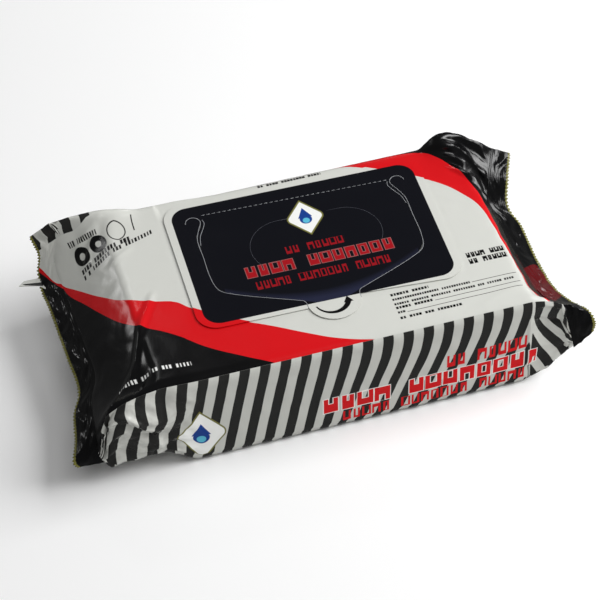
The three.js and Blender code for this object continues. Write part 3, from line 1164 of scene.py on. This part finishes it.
    def surface(self) -> tuple[Array, Array, Array]:
        """The whole tube before creasing: both ends, the body and the shoulders between them.

        Film coordinate u is x on the body, and the run along the film beyond it.

        Returns:
            Rings by points by 3, and film coordinates u and v, each with one more column.
        """
        inner = HALF_LENGTH - self.end_slack
        outward = np.linspace(0, 1, self.panel_rings)
        left, right = self.panel(LEFT_END, outward[::-1]), self.panel(RIGHT_END, outward)
        body = self.body(np.linspace(-inner, inner, self.body_rings))
        step = np.linspace(0, 1, self.shoulder_rings + 1)[1:-1][:, None, None]
        points = self.soften(np.concatenate([
            left, shoulder(left[-1], body[0], step), body, shoulder(body[-1], right[0], step), right,
        ]))
        first = self.panel_rings + self.shoulder_rings - 1
        last = first + self.body_rings - 1
        run = np.concatenate([np.zeros((1, points.shape[1])),
                              np.cumsum(length(np.diff(points, axis=0))[..., 0], axis=0)])
        u = points[..., 0].copy()
        u[:first] = -inner + run[:first] - run[first]
        u[last:] = inner + run[last:] - run[last]
        u = np.concatenate([u, u[:, :1]], 1)
        return points, u, np.broadcast_to(self.girth(), u.shape)

    def edge_u(self, end: FilmEnd) -> Callable[[Array], Array]:
        """Film coordinate u at a seal's inner side.

        Args:
            end: which end.

        Returns:
            A function from shares of the seal's length to u.
        """
        _, u, _ = self.surface()
        v = self.girth()[:-1]
        outer = (np.abs(v) <= HALF_WIDTH) | ((v < 0) & (-v < SIDE_FOOT))
        share, _ = end.place(v[outer])
        last = u[0 if end.side is Side.LEFT else -1, :-1][outer]
        order = np.argsort(share, kind="stable")
        return lambda w: np.interp(w, share[order], last[order])

    def soften(self, points: Array) -> Array:
        """Rounds the bends along the pack: each ring becomes a weighted mean of its neighbours.

        The top and the underside are rounded most. The folds of the sides stay sharp.

        Args:
            points: rings by points by 3.

        Returns:
            The same, rounded.
        """
        reach = np.abs(self.girth()[:-1])
        level = np.clip(ease((HALF_WIDTH + 1 - reach) / 5) + ease((reach - SIDE_FOOT) / 5), 0.12, 1)
        soft = points.copy()
        for _ in range(self.soften_passes):
            soft[1:-1] += (0.25 * level)[None, :, None] * (soft[:-2] + soft[2:] - 2 * soft[1:-1])
        return soft

    def relief(self, u: Array, v: Array) -> Array:
        """Height of the film's folds and wrinkles over the smooth tube.

        It is three layers of crumpling, each stronger in some places than in others, and the creases.

        Args:
            u: film coordinate along the pack.
            v: film coordinate round it.

        Returns:
            The height at each place, in millimetres.
        """
        right, left = ease((u - 84) / 10), ease((-u - 84) / 16)  # beyond the stack's ends
        side = ease((np.abs(v) - HALF_WIDTH) / 8)
        ear = ease((u - 76) / 12) * ease((v - 20) / 22)  # the peak at the right end's back corner
        low_left = ease((-u - 66) / 20) * ease((-v - 54) / 8)  # the left end's front side
        height = np.zeros_like(u)
        for strength, seed, size in (
            (0.03 + 0.08 * side + 0.12 * right + 0.05 * left, 3, self.broad_crumple),
            (0.34 * ear + 0.7 * low_left + 0.25 * right * side, 8, self.broad_crumple),
            (0.1 * ear + 0.4 * low_left + 0.12 * right + 0.05 * left, 5, self.fine_crumple),
        ):
            height = height + strength * crumple(u, v, seed, size)
        for crease in self.creases:
            height = height + crease.over(u, v)
        return height

    def build(self) -> bpy.types.Object:
        """The creased film as a closed tube, with film coordinates in its UV maps.

        Each point moves along its normal by the relief, which stays below the label that covers it.

        Returns:
            The piece.
        """
        points, u, v = self.surface()
        normals = grid_normals(points, True)
        rings = np.arange(len(points))
        from_end = np.minimum(rings, rings[::-1])[:, None]
        height = self.relief(u[:, :-1], v[:, :-1]) * ease(from_end / self.crease_rings)
        covered = ResealLabel().covers(points[..., 0], points[..., 1], 2.0)
        covered &= points[..., 2] > STACK_HEIGHT - 1
        height = np.where(covered, np.minimum(height, 0) * 0.5 - 0.05, height)
        points = points + normals * height[..., None]
        points[..., 2] = np.maximum(points[..., 2], self.clearance * ease((12 - points[..., 2]) / 10))
        layers = {
            "film": np.stack([u, v], -1) * MM,
            "stripes": SideStripes().place(u, v) * MM,
        }
        v_round = self.girth()[:-1]
        on_top = np.flatnonzero((v_round <= HALF_WIDTH) & (v_round > -SIDE_FOOT))
        share, _ = LEFT_END.place(v_round)
        return tube("film_wrap", points, layers, zipped(share, on_top[0], on_top[-1]))


# ---------------------------------------------------------------------------------------------
# Seals and label
# ---------------------------------------------------------------------------------------------


@dataclass
class EndSeal:
    """A crimped end: two layers of film welded flat, with ribs along it and a zigzag cut edge."""

    end: FilmEnd
    width: float = 12.0
    overlap: float = 0.4  # how far it reaches into the film's tube
    thickness: float = 0.36
    rib_pitch: float = 1.25
    rib_height: float = 0.035
    tooth_pitch: float = 1.8
    tooth_depth: float = 1.1
    wave_height: float = 0.35
    facet_height: float = 0.32
    rows: int = 340
    steps: int = 40

    def build(self, film_u: Callable[[Array], Array]) -> bpy.types.Object:
        """The seal as a closed strip: its profile across the seal, carried along the seal's line.

        The profile has sine ribs of uneven strength, waves that grow towards the cut edge, and
        facets. A zigzag moves the cut edge in and out.

        Args:
            film_u: film coordinate u at the seal's inner side, for shares of the seal's length.

        Returns:
            The piece.
        """
        end, sign = self.end, self.end.side.value
        w = np.linspace(0, 1, self.rows)
        inset = np.linspace(self.width + self.overlap, 0, self.steps + 1)
        frames = [end.seal_frame(i, w) for i in inset]
        centre, normal = (np.stack([f[k] for f in frames], 1) for k in range(2))
        run = np.cumsum(length(np.gradient(centre[:, -1], axis=0))[:, 0])[:, None]
        near_edge = ease(1 - inset / (2 * self.tooth_depth))[None, :]
        centre[..., 0] += sign * triangle_wave(run / self.tooth_pitch) * self.tooth_depth * near_edge
        strength = 0.55 + 0.9 * crumple(run + 0 * inset, 0 * run + inset, 11, 9.0)
        rib = self.rib_height * strength * np.sin(2 * math.pi * inset / self.rib_pitch)[None, :]
        wave = self.wave_height * np.sin(run / 6.1 + 0.4 * np.sin(run / 2.3))
        wave = wave * ease(1 - inset / 10)[None, :]
        facets = self.facet_height * crumple(run + 0 * inset, 0 * run + 1.5 * inset, 23, 9.0)
        facets = facets * ease((self.width - inset) / 4)[None, :]
        centre = centre + normal * (rib * ease(inset - 0.4)[None, :] + wave + facets)[..., None]
        half = 0.5 * self.thickness
        ring = np.concatenate([centre + normal * half, (centre - normal * half)[:, ::-1]], 1)
        across = np.concatenate([inset, inset[::-1]])[None, :] + 0 * run
        u = film_u(w)[:, None] + sign * (self.width - across)
        share = w[:, None] + 0 * across
        v = HALF_WIDTH - np.minimum(share / end.tip, 0.995) * STACK_WIDTH
        maps = [np.stack([u, v], -1), SideStripes().place(u, v), np.stack([across, v], -1)]
        if end.side is Side.RIGHT:
            ring, maps = ring[:, ::-1], [m[:, ::-1] for m in maps]
        layers = {
            name: np.concatenate([m, m[:, :1]], 1) * MM for name, m in zip(("film", "stripes", "seal"), maps)
        }
        return tube(f"{end.side.name.lower()}_end_seal", ring, layers, np.arange(ring.shape[1])[None, ::-1])


def plate(name: str, outline: Sequence[Spot], low: float, high: float) -> bpy.types.Object:
    """A flat sheet with straight edges: its outline at two levels, with walls between them.

    Args:
        name: the piece's name.
        outline: its corners, anticlockwise from above.
        low: height of its underside.
        high: height of its top.

    Returns:
        The piece.
    """
    spots = np.array(outline, float)
    count = len(spots)
    points = np.concatenate([np.column_stack([spots, np.full(count, z)]) for z in (low, high)])
    here = np.arange(count)
    ahead = np.roll(here, -1)
    walls = np.stack([here, ahead, ahead + count, here + count], -1)
    piece = mesh_object(name, points, walls, np.stack([here[::-1], here + count]))
    piece.data.polygons.foreach_set("use_smooth", np.zeros(count + 2, bool))
    return piece


@dataclass(frozen=True)
class LooseFilm:
    """The flat bits beside the wrap: the seam's fin, and a stray corner of the left end's gusset."""

    fin_inset: float = 4.0  # the fin stops this far from the stack's ends
    fin_sides: Spot = (-1.0, 11.0)
    fin_levels: Spot = (0.02, 0.4)
    root: float = -HALF_LENGTH - 31  # where the stray corner leaves the seal
    tip: float = -HALF_LENGTH - 44.5
    corner_levels: Spot = (29.0, 29.36)
    stripe_levels: Spot = (29.3, 29.42)

    def back_seam(self) -> bpy.types.Object:
        """The lengthwise seam under the pack: a flat fin folded over to one side.

        Returns:
            The piece.
        """
        reach, (right, left) = HALF_LENGTH - self.fin_inset, self.fin_sides
        outline = [(-reach, right), (reach, right), (reach, left), (-reach, left)]
        return plate("back_seam_fin", outline, *self.fin_levels)

    def stray_corner(self) -> bpy.types.Object:
        """The corner of the gusset's lower layer, which sticks out past the left seal at the back.

        Returns:
            The piece.
        """
        tip, root = self.tip, self.root
        outline = [(tip + 3, 53), (tip, 50.5), (root - 4, 48), (root, 43), (root, 53)]
        return plate("stray_gusset_corner", outline, *self.corner_levels)

    def corner_stripe(self) -> bpy.types.Object:
        """The printed stripe on the stray corner, a hair above it.

        Returns:
            The piece.
        """
        tip, root = self.tip, self.root
        outline = [(tip + 2, 51.2), (tip + 3, 50.2), (root - 2.3, 47.2), (root - 1.3, 49.6)]
        return plate("corner_stripe", outline, *self.stripe_levels)


@dataclass(frozen=True)
class ResealLabel:
    """The die-cut label on the top: a sheet with a thumb tab and a flap that peels back."""

    long: float = 128.0
    wide: float = 82.2
    centre: Spot = (2.1, 10.2)
    turn: float = -0.02
    tab_radius: float = 12.7
    tab_reach: float = 10.0

    def place(self, spots: Array) -> Array:
        """Turns and moves places given along and across the label into the part's frame.

        Args:
            spots: pairs along and across the label.

        Returns:
            Pairs of x and y.
        """
        a, b = spots[..., 0], spots[..., 1]
        c, s = math.cos(self.turn), math.sin(self.turn)
        return np.stack([self.centre[0] + a * c - b * s, self.centre[1] + a * s + b * c], -1)

    def along_across(self, x: Array | Field, y: Array | Field) -> tuple[Array | Field, Array | Field]:
        """Turns places of the part's frame back into places along and across the label.

        Args:
            x: their x in millimetres.
            y: their y.

        Returns:
            Places along the label, and places across it.
        """
        dx, dy = x - self.centre[0], y - self.centre[1]
        c, s = math.cos(self.turn), math.sin(self.turn)
        return dx * c + dy * s, dy * c - dx * s

    def covers(self, x: Array, y: Array, margin: float) -> Array:
        """Whether places lie under the label's rectangle or its round tab.

        Args:
            x: their x in millimetres.
            y: their y.
            margin: how far outside the label still counts.

        Returns:
            True or false for each place.
        """
        a, b = self.along_across(x, y)
        body = (np.abs(a) < self.long / 2 + margin) & (np.abs(b) < self.wide / 2 + margin)
        tab_across = b + self.wide / 2 - self.tab_radius + self.tab_reach
        return body | (np.hypot(a, tab_across) < self.tab_radius + margin)


@dataclass(frozen=True)
class LabelLine:
    """A fine raised line on the label: a low ridge along a path over its top."""

    name: str
    width: float
    height: float = 0.05
    sunk: float = 0.03

    def build(self, paths: Sequence[Array]) -> bpy.types.Object:
        """The ridge: a section of four points, carried along each path and closed at its ends.

        Args:
            paths: points along and across the label, in its own directions, one row each.

        Returns:
            The piece.
        """
        shares = np.array([(0.5, -self.sunk), (0.3, self.height), (-0.3, self.height), (-0.5, -self.sunk)])
        top, around = frame_top("reseal_label"), np.arange(4)
        points, faces, caps, used = [], [], [], 0
        for path in paths:
            ahead = np.concatenate([path[1:], path[-1:]]) - np.concatenate([path[:1], path[:-1]])
            ahead = ahead / length(ahead)
            side = np.stack([-ahead[:, 1], ahead[:, 0]], -1)
            flat = path[:, None] + side[:, None] * (shares[:, :1] * self.width)[None]
            level = np.broadcast_to(top + shares[:, 1], flat.shape[:2])
            points.append(np.concatenate([ResealLabel().place(flat), level[..., None]], -1).reshape(-1, 3))
            row, column = (g.ravel() for g in np.meshgrid(np.arange(len(path) - 1), around, indexing="ij"))
            corners = [(row, column), (row + 1, column), (row + 1, column + 1), (row, column + 1)]
            faces.append(used + np.stack([r * 4 + c % 4 for r, c in corners], -1))
            caps += [used + around, used + 4 * len(path) - 1 - around]
            used += 4 * len(path)
        return mesh_object(self.name, np.concatenate(points), np.concatenate(faces), np.array(caps))


@dataclass(frozen=True)
class LabelLines:
    """The lines on the label: the hinge's perforation, the opening's edge and the flap's cut."""

    hinge: tuple[Spot, Spot] = ((-45.9, 31.5), (47.0, 29.6))
    dashes: int = 36
    dash_share: float = 0.66
    opening_centre: Spot = (2.9, 0.8)
    opening_half: float = 32.0
    opening_radius: float = 17.0
    opening_gap: float = 9.5  # half the gap in the opening's edge, behind the badge
    flap_half: float = 51.5

    def hinge_dashes(self) -> bpy.types.Object:
        """A row of short dashes along the flap's hinge, at the back of the label.

        Returns:
            The piece.
        """
        start, end = np.array(self.hinge)
        shares = (np.arange(self.dashes)[:, None] + np.array([0.0, self.dash_share])) / self.dashes
        return LabelLine("hinge_dashes", 0.28).build(list(start + (end - start) * shares[..., None]))

    def opening_outline(self) -> bpy.types.Object:
        """The edge of the opening under the flap: a straight run and an arc on each side.

        Returns:
            The piece.
        """
        angle = np.linspace(math.pi / 2, -math.pi / 6, 60)
        reach, r = self.opening_half - self.opening_radius, self.opening_radius
        arc = np.stack([reach + r * np.cos(angle), r * np.sin(angle)], -1)
        half = np.concatenate([[(self.opening_gap, r)], arc])
        halves = [half, (half * np.array([-1, 1]))[::-1]]
        line = LabelLine("opening_outline", 0.24, 0.015)
        return line.build([h + np.array(self.opening_centre) for h in halves])

    def flap_cut(self) -> bpy.types.Object:
        """The cut round the flap, from the tab over both sides to the hooks at the hinge, each with a second
        line beside it as a painted highlight.

        Returns:
            The piece.
        """
        x, tab = self.flap_half, ResealLabel().tab_radius
        points = [(tab, -41), (tab, -38), (tab + 0.9, -36), (tab + 3, -35), (x - 8, -22.8), (x - 2, -18.5),
                  (x, -9.5), (x, 4), (x, 16), (x - 2, 22), (x - 4.2, 27.6), (x - 3, 30.2), (x - 0.6, 31.2),
                  (x + 1.9, 30.2), (x + 3, 27.6)]
        # A second line beside each hook, in the cut's pale grey: a painted highlight.
        hook_highlight = [(x - 5.3, 28.6), (x - 5.8, 26.2), (x - 4.4, 22.6), (x - 1.9, 17.8), (x - 0.7, 12)]
        lines = [smooth_line(points, np.linspace(0, 1, 160)), smooth_line(hook_highlight, np.linspace(0, 1, 40))]
        lines += [(line * np.array([-1, 1]))[::-1] for line in lines]
        return LabelLine("flap_cut", 0.3).build(lines)


# ---------------------------------------------------------------------------------------------
# Finishes
# ---------------------------------------------------------------------------------------------


def coordinates(tree: bpy.types.NodeTree, uv_map: str | None = None) -> tuple[Field, Field]:
    """Two coordinates of the surface in millimetres.

    Args:
        tree: the material's nodes.
        uv_map: the piece's UV map that gives them, or none for the part's own x and y.

    Returns:
        The two coordinates.
    """
    if uv_map:
        source = tree.nodes.new("ShaderNodeUVMap")
        source.uv_map = uv_map
        place = source.outputs[0]
    else:
        place = tree.nodes.new("ShaderNodeTexCoord").outputs["Object"]
    parts = tree.nodes.new("ShaderNodeSeparateXYZ")
    tree.links.new(place, parts.inputs[0])
    return Field(tree, parts.outputs[0]) * 1000, Field(tree, parts.outputs[1]) * 1000


@dataclass(frozen=True)
class FilmFinish:
    """Glossy printed film with fine wrinkles: the artwork under a clear, slightly uneven surface."""

    name: str = "printed_film"
    roughness: float = 0.20
    ripple: float = 0.00004
    ripple_scale: float = 420.0
    haze_scale: float = 60.0
    haze: float = 0.16  # how much the roughness varies
    ior: float = 1.42
    specular: float = 0.34

    def blank(self) -> tuple[bpy.types.Material, bpy.types.NodeTree, bpy.types.Node]:
        """A new material with this finish's gloss.

        Returns:
            The material, its nodes and its shader.
        """
        material = bpy.data.materials.new(self.name)
        material.use_nodes = True
        tree = material.node_tree
        shader = tree.nodes["Principled BSDF"]
        shader.inputs["Roughness"].default_value = self.roughness
        shader.inputs["IOR"].default_value = self.ior
        shader.inputs["Specular IOR Level"].default_value = self.specular
        return material, tree, shader

    def unevenness(self, tree: bpy.types.NodeTree, shader: bpy.types.Node) -> None:
        """Varies the gloss with a broad noise, and adds the film's finest ripples with a fine one.

        Args:
            tree: the material's nodes.
            shader: the shader that takes both.
        """
        place = tree.nodes.new("ShaderNodeTexCoord").outputs["Object"]
        noises = []
        for scale, detail, distortion in ((self.ripple_scale, 3.0, 0.6), (self.haze_scale, 4.0, 0.0)):
            noise = tree.nodes.new("ShaderNodeTexNoise")
            noise.inputs["Scale"].default_value = scale
            noise.inputs["Detail"].default_value = detail
            noise.inputs["Distortion"].default_value = distortion
            tree.links.new(place, noise.inputs["Vector"])
            noises.append(noise.outputs[0])
        gloss = Field(tree, noises[1]) * self.haze + (self.roughness - self.haze / 2)
        tree.links.new(gloss.socket, shader.inputs["Roughness"])
        bump = tree.nodes.new("ShaderNodeBump")
        bump.inputs["Strength"].default_value = 0.35
        bump.inputs["Distance"].default_value = self.ripple
        tree.links.new(noises[0], bump.inputs["Height"])
        tree.links.new(bump.outputs[0], shader.inputs["Normal"])

    def artwork(self, tree: bpy.types.NodeTree) -> Artwork:
        """The film's print, which follows the piece's own film coordinates.

        Args:
            tree: the material's nodes.

        Returns:
            The artwork.
        """
        art = Artwork(tree)
        FilmPrint().paint(art, *coordinates(tree, "film"), *coordinates(tree, "stripes"))
        return art

    def material(self) -> bpy.types.Material:
        """The finish as a material: its artwork as the colour, and its unevenness.

        Returns:
            The material.
        """
        material, tree, shader = self.blank()
        tree.links.new(self.artwork(tree).colour, shader.inputs["Base Color"])
        self.unevenness(tree, shader)
        return material


@dataclass(frozen=True)
class SealFinish(FilmFinish):
    """The film at a seal: the film's print with an olive line along the cut edge."""

    name: str = "sealed_film"
    roughness: float = 0.17
    specular: float = 0.25
    edge_line: float = 1.2

    def artwork(self, tree: bpy.types.NodeTree) -> Artwork:
        """The film's own print, and over it the edge's line by the distance from the cut.

        Args:
            tree: the material's nodes.

        Returns:
            The artwork.
        """
        art = super().artwork(tree)
        inset, _ = coordinates(tree, "seal")
        art.paint(OLIVE, (inset - self.edge_line).inside(0.3))
        return art


@dataclass(frozen=True)
class LabelFinish(FilmFinish):
    """The label's glossy sheet: its own print, and the film's print through its clear border."""

    name: str = "label_film"
    roughness: float = 0.13

    def artwork(self, tree: bpy.types.NodeTree) -> Artwork:
        """The label's print, which follows its place on the pack's top.

        Args:
            tree: the material's nodes.

        Returns:
            The artwork.
        """
        x, y = coordinates(tree)
        art = Artwork(tree)
        FilmPrint().bands(art, x, y)
        LabelPrint().paint(art, *ResealLabel().along_across(x, y))
        return art


@dataclass(frozen=True)
class PlainFinish(FilmFinish):
    """Film of one colour, with an even gloss."""

    ink: Ink = PEARL

    def material(self) -> bpy.types.Material:
        """The plain film.

        Returns:
            The material.
        """
        material, _, shader = self.blank()
        shader.inputs["Base Color"].default_value = self.ink.linear()
        return material


# ---------------------------------------------------------------------------------------------
# The studio
# ---------------------------------------------------------------------------------------------


@dataclass(frozen=True)
class Lamp:
    """A square soft light, in metres and watts, that points at a target.

    It may be kept out of reflections, or be only a bright card that shows in them.
    """

    name: str
    place: Point
    target: Point
    size: float
    watts: float
    mirrored: bool = True
    lights: bool = True

    def build(self) -> None:
        """Puts the lamp into the scene, turned so that it faces its target."""
        light = bpy.data.lights.new(self.name, "AREA")
        light.shape = "SQUARE"
        light.size = self.size
        light.energy = self.watts
        lamp = bpy.data.objects.new(self.name, light)
        lamp.visible_camera = False
        lamp.visible_glossy = self.mirrored
        lamp.visible_diffuse = self.lights
        lamp.location = self.place
        lamp.rotation_mode = "QUATERNION"
        lamp.rotation_quaternion = (Vector(self.target) - Vector(self.place)).to_track_quat("-Z", "Y")
        bpy.context.scene.collection.objects.link(lamp)


@dataclass(frozen=True)
class Studio:
    """A pale floor, soft lights and the camera."""

    floor_half: float = 4.0
    floor_tone: float = 0.96
    floor_roughness: float = 0.9
    air_light: float = 0.16
    lamps: tuple[Lamp, ...] = (
        Lamp("key", (1.0, -0.2, 1.0), (0, 0, 0), 1.0, 22.5),
        Lamp("top", (-0.1, -0.5, 1.4), (0, 0, 0), 1.0, 4.5, mirrored=False),
        Lamp("rim", (0.585, 1.105, 0.364), (0.1, 0, 0.05), 0.35, 3),
        Lamp("card", (1.24, 0.08, 0.7), (0.1, 0, 0.05), 0.55, 8.5, lights=False),
        Lamp("back", (-0.06, 0.83, 0.98), (-0.08, 0, 0.05), 0.1, 0.3),
        Lamp("left", (-0.92, 0.86, 0.56), (-0.1, 0, 0.04), 0.13, 0.7, lights=False),
    )
    azimuth: float = -16.13  # the camera's direction and roll in degrees
    elevation: float = 48.1
    roll: float = -1.06
    distance: float = 1.14318
    lens: float = 140.43
    sensor: float = 36.0
    shift: Spot = (-0.0245, 0.0652)

    def build(self) -> None:
        """Makes the floor, the world, the lights and the camera."""
        bpy.context.scene.view_settings.view_transform = "Standard"
        self.floor()
        self.air()
        for lamp in self.lamps:
            lamp.build()
        self.camera()
        log.info("studio: %d lamps", len(self.lamps))

    def floor(self) -> None:
        """Lays the floor, a matt square that doesn't show in reflections."""
        mesh = bpy.data.meshes.new("floor")
        r = self.floor_half
        mesh.from_pydata([(-r, -r, 0), (r, -r, 0), (r, r, 0), (-r, r, 0)], [], [(0, 1, 2, 3)])
        floor = bpy.data.objects.new("floor", mesh)
        bpy.context.scene.collection.objects.link(floor)
        material = bpy.data.materials.new("floor")
        material.use_nodes = True
        shader = material.node_tree.nodes["Principled BSDF"]
        shader.inputs["Base Color"].default_value = (self.floor_tone, self.floor_tone, self.floor_tone, 1)
        shader.inputs["Roughness"].default_value = self.floor_roughness
        mesh.materials.append(material)
        floor.visible_glossy = False

    def air(self) -> None:
        """Fills the scene with even white light."""
        world = bpy.data.worlds.new("World")
        world.use_nodes = True
        background = world.node_tree.nodes["Background"]
        background.inputs[0].default_value = (1, 1, 1, 1)
        background.inputs[1].default_value = self.air_light
        bpy.context.scene.world = world

    def camera(self) -> None:
        """Sets up the camera: it looks at the origin from its direction, rolled and shifted."""
        azimuth, elevation, roll = (math.radians(a) for a in (self.azimuth, self.elevation, self.roll))
        right = Vector((math.cos(azimuth), math.sin(azimuth), 0))
        back = Vector((math.sin(azimuth) * math.cos(elevation), -math.cos(azimuth) * math.cos(elevation),
                       math.sin(elevation)))
        up = back.cross(right)
        turned_right = math.cos(roll) * right + math.sin(roll) * up
        turned_up = -math.sin(roll) * right + math.cos(roll) * up
        camera = bpy.data.objects.new("camera", bpy.data.cameras.new("camera"))
        camera.data.lens = self.lens
        camera.data.sensor_width = self.sensor
        camera.data.shift_x, camera.data.shift_y = self.shift
        axes = Matrix((turned_right, turned_up, back)).transposed().to_4x4()
        camera.matrix_world = Matrix.Translation(back * self.distance) @ axes
        bpy.context.scene.collection.objects.link(camera)
        bpy.context.scene.camera = camera


# ---------------------------------------------------------------------------------------------
# Building the pack
# ---------------------------------------------------------------------------------------------


def settle(piece: bpy.types.Object, node: str | None, finish: bpy.types.Material) -> None:
    """Finishes a piece and reports it.

    Args:
        piece: the piece, which rides on the pack's one body.
        node: the CAD node that it stands for, if any.
        finish: its material.
    """
    piece.data.materials.clear()
    piece.data.materials.append(finish)
    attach(piece, "root")
    if node:
        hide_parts(node)
    log.info("%s: %d faces", piece.name, len(piece.data.polygons))


def main() -> None:
    """Builds the pack piece by piece, then the studio."""
    logging.basicConfig(level=logging.INFO, format="%(message)s")
    wrap = FilmWrap()
    settle(wrap.build(), "pouch", FilmFinish().material())
    sealed = SealFinish().material()
    for end in (LEFT_END, RIGHT_END):
        settle(EndSeal(end).build(wrap.edge_u(end)), "pouch", sealed)
    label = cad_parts["reseal_label"]
    label.data.materials.clear()
    label.data.materials.append(LabelFinish().material())
    log.info("reseal_label: %d faces", len(label.data.polygons))
    lines = LabelLines()
    # The label's cut lines in pale grey: a painted highlight along their edges.
    pale = PlainFinish("label_cut_highlight", 0.3, ink=PALE_LINE_PAINTED_HIGHLIGHT).material()
    settle(lines.hinge_dashes(), None, pale)
    settle(lines.flap_cut(), None, pale)
    # The opening's edge in dim grey: a painted highlight on its ridge.
    dim = PlainFinish("opening_ridge_highlight", 0.6, ink=DIM_LINE_PAINTED_HIGHLIGHT).material()
    settle(lines.opening_outline(), None, dim)
    loose = LooseFilm()
    for piece, name, roughness, ink in (
        (loose.back_seam(), "seam_film", 0.25, BLACK),
        # The stray corner in the sides' darker pearl: painted shade.
        (loose.stray_corner(), "corner_film", 0.2, SIDE_PEARL_PAINTED_SHADE),
        (loose.corner_stripe(), "stripe_film", 0.2, BLACK),
    ):
        settle(piece, "pouch", PlainFinish(name, roughness, ink=ink).material())
    Studio().build()


if __name__ == "__main__":
    main()
